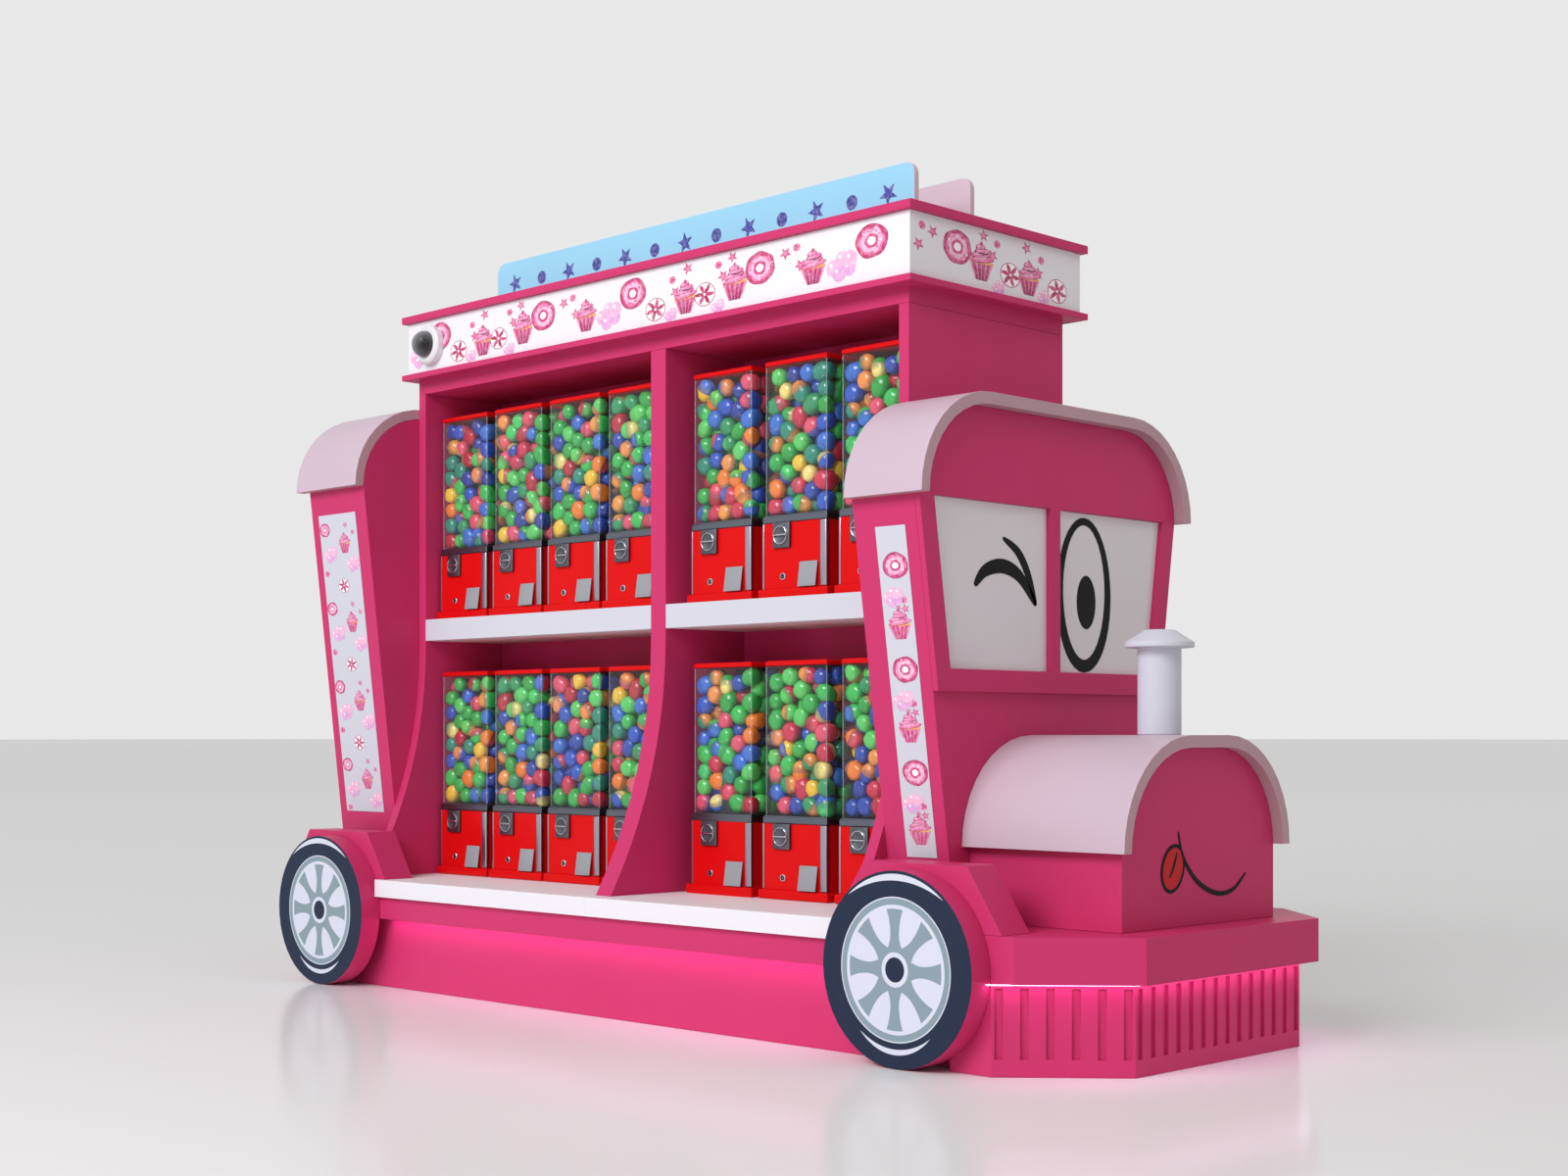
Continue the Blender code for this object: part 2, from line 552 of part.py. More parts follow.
def build_top():
    """Header with its cornice board, the printed fascia box, the cornice cap and two sign boards."""
    bm = bmesh.new()
    low = (UNIT_REAR_X, -UNIT_HALF_DEPTH, UNIT_WALL_TOP + GAP)
    add_box(bm, low, (UNIT_FRONT_X, UNIT_HALF_DEPTH, HEADER_TOP + BOARD / 2))
    top_board = make("top_board", bm, PINK)
    board = bmesh.new()
    low = (CORNICE_REAR_X, -CORNICE_HALF_DEPTH, HEADER_TOP)
    add_box(board, low, (CORNICE_FRONT_X, CORNICE_HALF_DEPTH, CORNICE_LOWER_TOP))
    combine(top_board, board, "UNION")

    rear, front = CORNICE_REAR_X + FASCIA_INSET, CORNICE_FRONT_X - FASCIA_INSET
    half = FASCIA_HALF_DEPTH
    bm = bmesh.new()
    add_box(bm, (rear, -half, CORNICE_LOWER_TOP + GAP), (front, half, FASCIA_TOP))
    fascia = make("fascia", bm, WHITE)
    hollow = bmesh.new()
    inner = half - FASCIA_WALL
    low = (rear + FASCIA_WALL, -inner, HEADER_TOP)
    add_box(hollow, low, (front - FASCIA_WALL, inner, CORNICE_CAP_TOP))
    combine(fascia, hollow, "DIFFERENCE")

    bm = bmesh.new()
    low = (CORNICE_REAR_X, -CORNICE_HALF_DEPTH, FASCIA_TOP + GAP)
    add_box(bm, low, (CORNICE_FRONT_X, CORNICE_HALF_DEPTH, CORNICE_CAP_TOP))
    make("cornice_cap", bm, PINK)

    high = SIGN_TOP - SIGN_CORNER
    rear, front = CORNICE_REAR_X + SIGN_INSET_REAR, CORNICE_FRONT_X - SIGN_INSET_FRONT
    outline = [(rear, CORNICE_CAP_TOP + GAP), (front, CORNICE_CAP_TOP + GAP)]
    outline += arc((front - SIGN_CORNER, high), SIGN_CORNER, 0, 90, FINE_STEPS // 2)
    outline += arc((rear + SIGN_CORNER, high), SIGN_CORNER, 90, 180, FINE_STEPS // 2)
    for name, side in (("sign_right", -1), ("sign_left", 1)):
        bm = bmesh.new()
        inner_y = side * (SIGN_Y - SIGN_THICKNESS / 2)
        add_prism(bm, outline, "Y", inner_y, inner_y + side * SIGN_THICKNESS)
        make(name, bm, PALE_BLUE)


# ================================================================ cabs and hood
def arched_outline(foot, half_width, floor, spring, radius, wall=0.0):
    """A housing seen along X. With a wall, its inside, which runs on down past the floor."""
    sides = [(-(foot - wall), floor), (foot - wall, floor)]
    if wall:
        sides = [(-(foot - wall), floor - wall), (foot - wall, floor - wall)]
    return sides + arch(half_width - wall, spring, radius - wall)


def build_housing(name, rear, front, foot, roof_half_width, spring, roof_radius):
    """A shell of boards, open below, whose arched top fits inside its roof. A notch clears the counter."""
    half_width = roof_half_width - ROOF_THICKNESS - GAP
    radius = roof_radius - ROOF_THICKNESS - GAP
    foot = foot or half_width
    bm = bmesh.new()
    add_prism(bm, arched_outline(foot, half_width, DECK_TOP + GAP, spring, radius), "X", rear, front)
    shell = make(name, bm, PINK)
    inside = bmesh.new()
    hollow = arched_outline(foot, half_width, DECK_TOP + GAP, spring, radius, BOARD)
    add_prism(inside, hollow, "X", rear + BOARD, front - BOARD)
    combine(shell, inside, "DIFFERENCE")
    if rear < COUNTER_FRONT_X < front:
        notch = bmesh.new()
        low = (rear - BOARD, -roof_half_width, 0)
        add_box(notch, low, (COUNTER_FRONT_X + GAP, roof_half_width, COUNTER_TOP + GAP))
        combine(shell, notch, "DIFFERENCE")


def build_roof(name, rear, front, half_width, spring, radius):
    """A bent sheet over a housing, open below."""
    outer = arch(half_width, spring, radius)
    inner = arch(half_width - ROOF_THICKNESS, spring, radius - ROOF_THICKNESS)
    bm = bmesh.new()
    add_prism(bm, [*outer, *reversed(inner)], "X", rear, front)
    make(name, bm, PALE_PINK, smooth=True)


def cab_half_width(height):
    """Half the front cab's width at a height below its roof."""
    top = CAB_ROOF_HALF_WIDTH - ROOF_THICKNESS - GAP
    share = (height - DECK_TOP - GAP) / (FRONT_CAB_SPRING - DECK_TOP - GAP)
    return FRONT_CAB_FOOT + (top - FRONT_CAB_FOOT) * share


def window_outline(side, clearance=0.0):
    """One window of the front cab, seen along X."""
    low, high = WINDOW_LOW + clearance, WINDOW_HIGH - clearance
    inner = MULLION / 2 + clearance
    margin = WINDOW_MARGIN + clearance
    outline = [(inner, low), (cab_half_width(low) - margin, low)]
    outline += [(cab_half_width(high) - margin, high), (inner, high)]
    return [(side * y, z) for y, z in outline]


def build_window_frame():
    """The thick board on the front cab, and the two panes let into it."""
    half_width = CAB_ROOF_HALF_WIDTH - ROOF_THICKNESS - GAP
    radius = CAB_ROOF_RADIUS - ROOF_THICKNESS - GAP
    low = cab_half_width(FRAME_LOW)
    outline = [(-low, FRAME_LOW), (low, FRAME_LOW), *arch(half_width, FRONT_CAB_SPRING, radius)]
    rear = FRONT_CAB_X + GAP
    bm = bmesh.new()
    add_prism(bm, outline, "X", rear, rear + FRAME_THICKNESS)
    frame = make("window_frame", bm, PINK)
    holes = bmesh.new()
    for side in (-1, 1):
        add_prism(holes, window_outline(side), "X", rear - BOARD, rear + 2 * FRAME_THICKNESS)
    combine(frame, holes, "DIFFERENCE")
    for name, side in (("window_pane_right", -1), ("window_pane_left", 1)):
        bm = bmesh.new()
        add_prism(bm, window_outline(side, GAP), "X", rear, rear + PANE_THICKNESS)
        make(name, bm, PANE)


def build_cabs_and_hood():
    """The cab behind the shelf unit, the cab before it and the hood, each with its roof."""
    behind, before = UNIT_REAR_X - GAP, UNIT_FRONT_X + GAP
    rear_arch = (CAB_ROOF_HALF_WIDTH, REAR_CAB_SPRING, CAB_ROOF_RADIUS)
    front_arch = (CAB_ROOF_HALF_WIDTH, FRONT_CAB_SPRING, CAB_ROOF_RADIUS)
    hood_arch = (HOOD_ROOF_HALF_WIDTH, HOOD_SPRING, HOOD_RADIUS)
    build_housing("cab_rear_shell", REAR_CAB_X, behind, REAR_CAB_FOOT, *rear_arch)
    build_roof("cab_rear_roof", REAR_CAB_X - REAR_ROOF_OVERHANG, behind, *rear_arch)
    build_housing("cab_front_shell", before, FRONT_CAB_X, FRONT_CAB_FOOT, *front_arch)
    build_roof("cab_front_roof", before, FRONT_CAB_X + FRONT_ROOF_OVERHANG, *front_arch)
    build_window_frame()
    hood_rear = FRONT_CAB_X + GAP
    build_housing("hood_shell", hood_rear, HOOD_X, None, *hood_arch)
    build_roof("hood_roof", hood_rear, HOOD_X + HOOD_ROOF_OVERHANG, *hood_arch)


def build_chimney():
    """A stack with a conical cap, on the flat top of the hood's roof."""
    foot = HOOD_SPRING + HOOD_RADIUS + GAP
    top = foot + CHIMNEY_HEIGHT
    brim = top + CAP_BRIM
    profile = [
        (0, foot),
        (CHIMNEY_RADIUS, foot),
        (CHIMNEY_RADIUS, top),
        (CAP_RADIUS, top),
        (CAP_RADIUS, brim),
        (CAP_TOP_RADIUS, brim + CAP_CONE),
        (0, brim + CAP_CONE),
    ]
    bm = bmesh.new()
    add_turned(bm, profile, (CHIMNEY_X, 0, 0), sides=2 * ROUND_SIDES)
    make("chimney", bm, WHITE, smooth=True)


# ================================================================ dome camera
def build_camera():
    """A dome camera on the right fascia: base, smoked dome, and the eye that turns inside it."""
    wall_y = -FASCIA_HALF_DEPTH - GAP
    front_y = wall_y - CAMERA_BASE_DEPTH
    floor = CAMERA_BASE_DEPTH - EYE_RADIUS - EYE_CLEARANCE
    chamfer = CAMERA_BASE_DEPTH / 4
    base_profile = [
        (0, 0),
        (CAMERA_BASE_RADIUS, 0),
        (CAMERA_BASE_RADIUS, CAMERA_BASE_DEPTH - chamfer),
        (CAMERA_BASE_RADIUS - chamfer, CAMERA_BASE_DEPTH),
        (CAMERA_RECESS_RADIUS, CAMERA_BASE_DEPTH),
        (CAMERA_RECESS_RADIUS, floor),
        (0, floor),
    ]
    bm = bmesh.new()
    add_turned(bm, base_profile, (CAMERA_X, wall_y, CAMERA_Z), (0, -1, 0))
    make("camera_base", bm, WHITE, smooth=True)

    outer = arc((0, GAP), DOME_RADIUS, 0, 90, SMALL_SIDES // 2)
    inner = arc((0, GAP), DOME_RADIUS - DOME_WALL, 90, 0, SMALL_SIDES // 2)
    bm = bmesh.new()
    profile = [*outer[:-1], (0, outer[-1][1]), (0, inner[0][1]), *inner[1:], outer[0]]
    add_turned(bm, profile, (CAMERA_X, front_y, CAMERA_Z), (0, -1, 0))
    make("camera_dome", bm, SMOKED, smooth=True)

    centre = Vector((CAMERA_X, front_y, CAMERA_Z))
    pin_foot = floor - CAMERA_BASE_DEPTH + GAP
    pin_meets = math.degrees(math.asin(EYE_PIN_RADIUS / EYE_RADIUS))
    ball = arc((0, 0), EYE_RADIUS, pin_meets - 90, 90, SMALL_SIDES)
    profile = [(0, pin_foot), (EYE_PIN_RADIUS, pin_foot), *ball[:-1], (0, EYE_RADIUS)]
    bm = bmesh.new()
    add_turned(bm, profile, centre, (0, -1, 0))
    eye = make("camera_eye", bm, BLACK, pivot=centre, smooth=True)
    lens = bmesh.new()
    aim = Vector((0, -math.cos(LENS_TILT), -math.sin(LENS_TILT)))
    reach = EYE_RADIUS + LENS_REACH
    add_turned(lens, [(0, 0), (LENS_RADIUS, 0), (LENS_RADIUS, reach), (0, reach)], centre, aim)
    combine(eye, lens, "UNION")


# ================================================================ vending machines
TOWER = (
    (FOOT_SIZE, FOOT_HEIGHT),
    (CABINET_SIZE, CABINET_HEIGHT),
    (COLLAR_SIZE, COLLAR_HEIGHT),
    (CANISTER_SIZE, CANISTER_HEIGHT),
    (LID_SIZE, LID_HEIGHT),
)


class Machine:
    """The place of one machine. Its own x runs to the customer's right and its own y to the back."""

    def __init__(self, x, side, floor):
        self.x = x
        self.side = side
        self.floor = floor

    def at(self, x, y, z):
        """A point in the world from a point of the machine, whose front is at its own -y."""
        return Vector((self.x - self.side * x, self.side * (MACHINE_Y - y), self.floor + z))

    def box(self, bm, low, high):
        a, b = self.at(*low), self.at(*high)
        add_box(bm, map(min, a, b), map(max, a, b))

    def drum(self, bm, centre, radius, length, axis="Y", sides=ROUND_SIDES):
        add_drum(bm, self.at(*centre), radius, length, axis, sides)


def front_of_plate():
    return -(CABINET_SIZE / 2 + PLATE_THICKNESS + GAP)


def plate_centre_z():
    return CABINET_HEIGHT - PLATE_HEIGHT / 2


def bay_machines(rear, length, side, floor):
    """As many machines as a shelf holds, from rear to front. The last stands by the upright ahead."""
    room = length - 2 * ROW_MARGIN - FOOT_SIZE
    count = int(room / (FOOT_SIZE + LEAST_MACHINE_GAP)) + 1
    pitch = min(FOOT_SIZE + MACHINE_GAP, room / max(count - 1, 1))
    last = rear + length - ROW_MARGIN - FOOT_SIZE / 2
    return [Machine(last - (count - 1 - i) * pitch, side, floor + GAP) for i in range(count)]


def build_row(name, machines):
    """Machines linked at the feet, with their coin plates, knobs and doors in relief."""
    first, last = machines[0], machines[-1]
    bm = bmesh.new()
    inside = FOOT_SIZE / 4
    low = (first.x - inside, first.side * MACHINE_Y - LINK_WIDTH / 2, first.floor)
    high = (last.x + inside, first.side * MACHINE_Y + LINK_WIDTH / 2, first.floor + LINK_HEIGHT)
    add_box(bm, low, high)
    row = make(name, bm, RED)
    towers = bmesh.new()
    plates = bmesh.new()
    knobs = bmesh.new()
    face = -CABINET_SIZE / 2
    sink = SHEET
    for machine in machines:
        add_tower(towers, machine.x, machine.side * MACHINE_Y, machine.floor, TOWER)
        half, top = PLATE_WIDTH / 2, CABINET_HEIGHT - GAP
        bottom = CABINET_HEIGHT - PLATE_HEIGHT
        front = front_of_plate()
        machine.box(plates, (PLATE_X - half, front, bottom), (PLATE_X + half, face + sink, top))
        half = DOOR_WIDTH / 2
        bottom = DOOR_PIVOT_Z - DOOR_HEIGHT
        front = face - DOOR_THICKNESS
        machine.box(plates, (DOOR_X - half, front, bottom), (DOOR_X + half, face + sink, DOOR_PIVOT_Z))
        reach = KNOB_THICKNESS + sink
        centre = (PLATE_X, front_of_plate() - KNOB_THICKNESS + reach / 2, plate_centre_z())
        machine.drum(knobs, centre, KNOB_RADIUS, reach, sides=SMALL_SIDES)
    combine(row, towers, "UNION")
    combine(row, plates, "UNION")
    combine(row, knobs, "UNION")


def build_cabinet(machine):
    """The red sheet-metal base: foot, four walls, and holes for lock, coin mechanism and exit."""
    bm = bmesh.new()
    add_tower(bm, machine.x, machine.side * MACHINE_Y, machine.floor, TOWER[:2])
    cabinet = make("vendor_cabinet", bm, RED)
    cuts = bmesh.new()
    half = CABINET_SIZE / 2 - SHEET
    machine.box(cuts, (-half, -half, FOOT_HEIGHT), (half, half, CABINET_HEIGHT + SHEET))
    combine(cabinet, cuts, "DIFFERENCE")
    holes = bmesh.new()
    outside, inside = -CABINET_SIZE / 2 - SHEET, -CABINET_SIZE / 2 + 2 * SHEET
    half = MECHANISM_SIZE / 2 + GAP
    z = plate_centre_z()
    machine.box(holes, (PLATE_X - half, outside, z - half), (PLATE_X + half, inside, z + half))
    half = EXIT_HALF_WIDTH
    low, high = FOOT_HEIGHT + EXIT_MARGIN, DOOR_PIVOT_Z - EXIT_MARGIN
    machine.box(holes, (DOOR_X - half, outside, low), (DOOR_X + half, inside, high))
    radius = LOCK_BARREL_RADIUS + RUNNING_CLEARANCE
    middle = (outside + inside) / 2
    machine.drum(holes, (LOCK_X, middle, LOCK_Z), radius, inside - outside)
    combine(cabinet, holes, "DIFFERENCE")


def build_collar(machine):
    """The grey plate over the cabinet, with the capsule outlet and the wheel's bearing hole."""
    bm = bmesh.new()
    half = COLLAR_SIZE / 2
    machine.box(bm, (-half, -half, CABINET_HEIGHT + GAP), (half, half, COLLAR_HEIGHT))
    collar = make("vendor_collar", bm, STEEL)
    holes = bmesh.new()
    z = (COLLAR_HEIGHT + CABINET_HEIGHT) / 2
    through = 2 * COLLAR_THICKNESS
    machine.drum(holes, (DOOR_X, -OUTLET_Y, z), POCKET_RADIUS, through, "Z")
    machine.drum(holes, (0, 0, z), SHAFT_RADIUS + RUNNING_CLEARANCE, through, "Z")
    combine(collar, holes, "DIFFERENCE")


def build_canister(machine):
    """The clear square tube that holds the capsules, open above and below."""
    bm = bmesh.new()
    half = CANISTER_SIZE / 2
    machine.box(bm, (-half, -half, COLLAR_HEIGHT + GAP), (half, half, CANISTER_HEIGHT))
    canister = make("vendor_canister", bm, CLEAR)
    inside = bmesh.new()
    half -= CANISTER_WALL
    machine.box(inside, (-half, -half, CABINET_HEIGHT), (half, half, LID_HEIGHT))
    combine(canister, inside, "DIFFERENCE")


def build_lid(machine):
    """The red lid. A rim below it drops into the canister."""
    bm = bmesh.new()
    half = LID_SIZE / 2
    machine.box(bm, (-half, -half, CANISTER_HEIGHT + GAP), (half, half, LID_HEIGHT))
    lid = make("vendor_lid", bm, RED, pivot=machine.at(0, 0, CANISTER_HEIGHT))
    rim = bmesh.new()
    half = CANISTER_SIZE / 2 - CANISTER_WALL - GAP
    low = CANISTER_HEIGHT - LID_RIM_DEPTH
    machine.box(rim, (-half, -half, low), (half, half, CANISTER_HEIGHT + 2 * GAP))
    combine(lid, rim, "UNION")
    hollow = bmesh.new()
    half -= LID_RIM_WALL
    machine.box(hollow, (-half, -half, low - SHEET), (half, half, LID_HEIGHT - SHEET))
    combine(lid, hollow, "DIFFERENCE")


def build_coin_plate(machine):
    """The coin plate on the cabinet's front, with the mechanism's housing behind it."""
    bm = bmesh.new()
    half, top = PLATE_WIDTH / 2, CABINET_HEIGHT - GAP
    bottom = CABINET_HEIGHT - PLATE_HEIGHT
    face = -CABINET_SIZE / 2 - GAP
    machine.box(bm, (PLATE_X - half, front_of_plate(), bottom), (PLATE_X + half, face, top))
    plate = make("vendor_coin_plate", bm, STEEL)
    housing = bmesh.new()
    half, z = MECHANISM_SIZE / 2, plate_centre_z()
    low = (PLATE_X - half, face - PLATE_THICKNESS / 2, z - half)
    machine.box(housing, low, (PLATE_X + half, face + MECHANISM_DEPTH, z + half))
    combine(plate, housing, "UNION")
    bore = bmesh.new()
    centre = (PLATE_X, face + MECHANISM_DEPTH / 2, z)
    machine.drum(bore, centre, SHAFT_RADIUS + RUNNING_CLEARANCE, 2 * MECHANISM_DEPTH)
    combine(plate, bore, "DIFFERENCE")


def build_knob(machine):
    """The turning handle on its shaft. The shaft ends just behind the mechanism's housing."""
    z = plate_centre_z()
    back = front_of_plate() - GAP
    front = back - KNOB_THICKNESS
    bm = bmesh.new()
    machine.drum(bm, (PLATE_X, (front + back) / 2, z), KNOB_RADIUS, KNOB_THICKNESS)
    knob = make("vendor_knob", bm, STEEL, pivot=machine.at(PLATE_X, back, z), smooth=True)
    added = bmesh.new()
    length, reach, height = (KNOB_BAR[0] / 2, KNOB_BAR[1], KNOB_BAR[2] / 2)
    low = (PLATE_X - length, front - reach, z - height)
    machine.box(added, low, (PLATE_X + length, front + KNOB_THICKNESS / 2, z + height))
    combine(knob, added, "UNION")
    shaft = bmesh.new()
    start, end = front + KNOB_THICKNESS / 2, -CABINET_SIZE / 2 + MECHANISM_DEPTH + SHEET
    machine.drum(shaft, (PLATE_X, (start + end) / 2, z), SHAFT_RADIUS, end - start)
    combine(knob, shaft, "UNION")


def build_door(machine):
    """The grey flap over the capsule exit. It hangs from a knuckle along its top edge."""
    y = -CABINET_SIZE / 2 - GAP - DOOR_KNUCKLE
    pivot = machine.at(DOOR_X, y, DOOR_PIVOT_Z)
    bm = bmesh.new()
    half = DOOR_WIDTH / 2
    machine.drum(bm, (DOOR_X, y, DOOR_PIVOT_Z), DOOR_KNUCKLE, DOOR_WIDTH, "X", SMALL_SIDES)
    door = make("vendor_door", bm, STEEL, pivot=pivot, smooth=True)
    leaf = bmesh.new()
    low = (DOOR_X - half + GAP, y - DOOR_THICKNESS / 2, DOOR_PIVOT_Z - DOOR_HEIGHT)
    machine.box(leaf, low, (DOOR_X + half - GAP, y + DOOR_THICKNESS / 2, DOOR_PIVOT_Z))
    tilt = Matrix.Rotation(machine.side * DOOR_TILT, 3, "X")
    bmesh.ops.rotate(leaf, cent=pivot, matrix=tilt, verts=leaf.verts)
    combine(door, leaf, "UNION")


def build_lock(machine):
    """The round cabinet lock: face, barrel and a cam behind the sheet."""
    face = -CABINET_SIZE / 2 - GAP
    z = LOCK_Z
    bm = bmesh.new()
    machine.drum(bm, (LOCK_X, face - LOCK_REACH / 2, z), LOCK_RADIUS, LOCK_REACH)
    lock = make("vendor_lock", bm, STEEL, pivot=machine.at(LOCK_X, face, z), smooth=True)
    barrel = bmesh.new()
    start, end = face - LOCK_REACH / 2, face + LOCK_BARREL_LENGTH
    machine.drum(barrel, (LOCK_X, (start + end) / 2, z), LOCK_BARREL_RADIUS, end - start)
    combine(lock, barrel, "UNION")
    cam = bmesh.new()
    width, length, thickness = LOCK_CAM
    low = (LOCK_X - width / 2, end - thickness, z - width / 2)
    machine.box(cam, low, (LOCK_X + width / 2, end + GAP, z + length))
    combine(lock, cam, "UNION")


def build_dispensing_wheel(machine):
    """The turning disc at the foot of the canister, with pockets for capsules and a short shaft."""
    low = COLLAR_HEIGHT + GAP
    pivot = machine.at(0, 0, low)
    shaft_end = -COLLAR_THICKNESS - SHEET
    profile = [
        (0, shaft_end),
        (SHAFT_RADIUS, shaft_end),
        (SHAFT_RADIUS, 0),
        (DISC_RADIUS, 0),
        (DISC_RADIUS, DISC_HEIGHT),
        (HUB_RADIUS, DISC_HEIGHT),
        (0, DISC_HEIGHT + HUB_HEIGHT),
    ]
    bm = bmesh.new()
    add_turned(bm, profile, pivot)
    wheel = make("vendor_dispensing_wheel", bm, WHITE, pivot=pivot, smooth=True)
    pockets = bmesh.new()
    for i in range(POCKETS):
        angle = OUTLET_ANGLE + 2 * math.pi * i / POCKETS
        x, y = POCKET_CIRCLE * math.cos(angle), POCKET_CIRCLE * math.sin(angle)
        centre = (x, y, low + DISC_HEIGHT / 2)
        machine.drum(pockets, centre, POCKET_RADIUS, 2 * DISC_HEIGHT, "Z")
    combine(wheel, pockets, "DIFFERENCE")


def build_chute(machine):
    """The bent sheet that leads a capsule from the outlet down to the exit."""
    floor = FOOT_HEIGHT + GAP
    back = POCKET_RADIUS - OUTLET_Y
    front = -CABINET_SIZE / 2 + SHEET + GAP
    sheet = CHUTE_SHEET
    top = CABINET_HEIGHT - CHUTE_DROP
    section = [
        (front, floor),
        (front + sheet, floor),
        (back - sheet, top - 2 * sheet),
        (back - sheet, floor),
        (back, floor),
        (back, top),
        (back - sheet, top),
        (front, floor + sheet),
    ]
    bm = bmesh.new()
    start = machine.at(DOOR_X - EXIT_HALF_WIDTH, 0, 0).x
    end = machine.at(DOOR_X + EXIT_HALF_WIDTH, 0, 0).x
    outline = [tuple(machine.at(0, y, z).yz) for y, z in section]
    add_prism(bm, outline, "X", start, end)
    make("vendor_chute", bm, STEEL)


def build_coin_box(machine):
    """The open box under the coin mechanism that catches the coins."""
    width, depth, height = COIN_BOX
    low_z = FOOT_HEIGHT + GAP
    low = (PLATE_X - width / 2, COIN_BOX_Y - depth / 2, low_z)
    high = (PLATE_X + width / 2, COIN_BOX_Y + depth / 2, low_z + height)
    bm = bmesh.new()
    machine.box(bm, low, high)
    box = make("vendor_coin_box", bm, BLACK)
    inside = bmesh.new()
    wall = Vector((COIN_BOX_WALL, COIN_BOX_WALL, COIN_BOX_WALL))
    inner_high = Vector(high) - wall
    inner_high.z = high[2] + COIN_BOX_WALL
    machine.box(inside, tuple(Vector(low) + wall), tuple(inner_high))
    combine(box, inside, "DIFFERENCE")


def build_machines():
    """All machines: eight shelves, with the first of the front lower right shelf in separate pieces."""
    bays = {
        "rear": (REAR_BAY_X, REAR_BAY),
        "front": (FRONT_BAY_X, FRONT_BAY),
    }
    for level, floor in (("lower", COUNTER_TOP), ("upper", SHELF_HIGH)):
        for bay, sizes in bays.items():
            for side_name, side in (("right", -1), ("left", 1)):
                machines = bay_machines(*sizes, side, floor)
                name = f"vendor_row_{level}_{bay}_{side_name}"
                if name == "vendor_row_lower_front_right":
                    build_working_machine(machines.pop(0))
                build_row(name, machines)


def build_working_machine(machine):
    """The machine that is modelled piece by piece."""
    build_cabinet(machine)
    build_collar(machine)
    build_canister(machine)
    build_lid(machine)
    build_coin_plate(machine)
    build_knob(machine)
    build_door(machine)
    build_lock(machine)
    build_dispensing_wheel(machine)
    build_chute(machine)
    build_coin_box(machine)


def main():
    clear_scene()
    build_plinth()
    build_skirt("front_skirt", 1, FRONT_SKIRT_X)
    build_skirt("rear_skirt", -1, REAR_SKIRT_X)
    build_deck()
    build_counters()
    for side_name, side in (("right", -1), ("left", 1)):
        build_fender(f"fender_front_{side_name}", side, FRONT_WHEEL_X, -1)
        build_fender(f"fender_rear_{side_name}", side, REAR_WHEEL_X, 1)
        build_wheel(f"wheel_front_{side_name}", side, FRONT_WHEEL_X)
        build_wheel(f"wheel_rear_{side_name}", side, REAR_WHEEL_X)
    build_uprights()
    build_bay("rear", REAR_BAY_X, DIVIDER_X)
    build_bay("front", FRONT_BAY_X, FRONT_WALL_X)
    build_top()
    build_cabs_and_hood()
    build_chimney()
    build_camera()
    build_machines()


main()
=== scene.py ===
"""Looks of a train-shaped kiosk that holds coin-operated capsule machines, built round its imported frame."""

import logging
import math
import random
from collections.abc import Callable, Iterable, Sequence
from dataclasses import dataclass, field
from enum import Enum
from functools import cache
from typing import Any

import bmesh
import bpy
import numpy as np
from mathutils import Euler, Matrix, Vector
from mathutils.bvhtree import BVHTree


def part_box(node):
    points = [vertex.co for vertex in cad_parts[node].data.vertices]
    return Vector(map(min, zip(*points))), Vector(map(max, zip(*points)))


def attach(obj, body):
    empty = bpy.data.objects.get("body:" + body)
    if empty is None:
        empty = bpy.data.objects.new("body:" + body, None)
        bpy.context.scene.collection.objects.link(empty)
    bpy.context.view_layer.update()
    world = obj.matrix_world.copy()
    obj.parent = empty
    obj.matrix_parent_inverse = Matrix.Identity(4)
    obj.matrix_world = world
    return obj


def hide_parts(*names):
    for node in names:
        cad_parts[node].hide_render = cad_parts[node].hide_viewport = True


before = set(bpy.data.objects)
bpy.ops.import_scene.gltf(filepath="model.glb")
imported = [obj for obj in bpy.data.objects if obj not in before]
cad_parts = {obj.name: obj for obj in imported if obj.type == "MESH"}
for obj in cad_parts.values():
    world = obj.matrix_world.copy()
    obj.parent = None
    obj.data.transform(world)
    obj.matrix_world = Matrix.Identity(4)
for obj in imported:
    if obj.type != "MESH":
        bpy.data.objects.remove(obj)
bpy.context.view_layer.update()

log = logging.getLogger("kiosk")
Colour = tuple[float, float, float]
Point = tuple[float, float, float]
Spot = tuple[float, float]
SIDES = {"right": -1, "left": 1}
INK = "ink"
FULL_TURN = 2 * math.pi
WELD = 1e-6
CAD_WELD = 2e-5
FLAT_ANGLE = math.radians(0.8)
HARD_ANGLE = math.radians(30)
PRINT_GAP = 0.0002


def linear(red: int, green: int, blue: int) -> Colour:
    """A display colour, 0 to 255 a channel, as linear light."""
    shares = (c / 255 for c in (red, green, blue))
    return tuple(c / 12.92 if c <= 0.04045 else ((c + 0.055) / 1.055) ** 2.4 for c in shares)


def toned(colour: Colour, factor: float) -> Colour:
    """A colour made darker or lighter, and never brighter than white."""
    return tuple(min(1.0, c * factor) for c in colour)


# ---------------------------------------------------------------- shaders


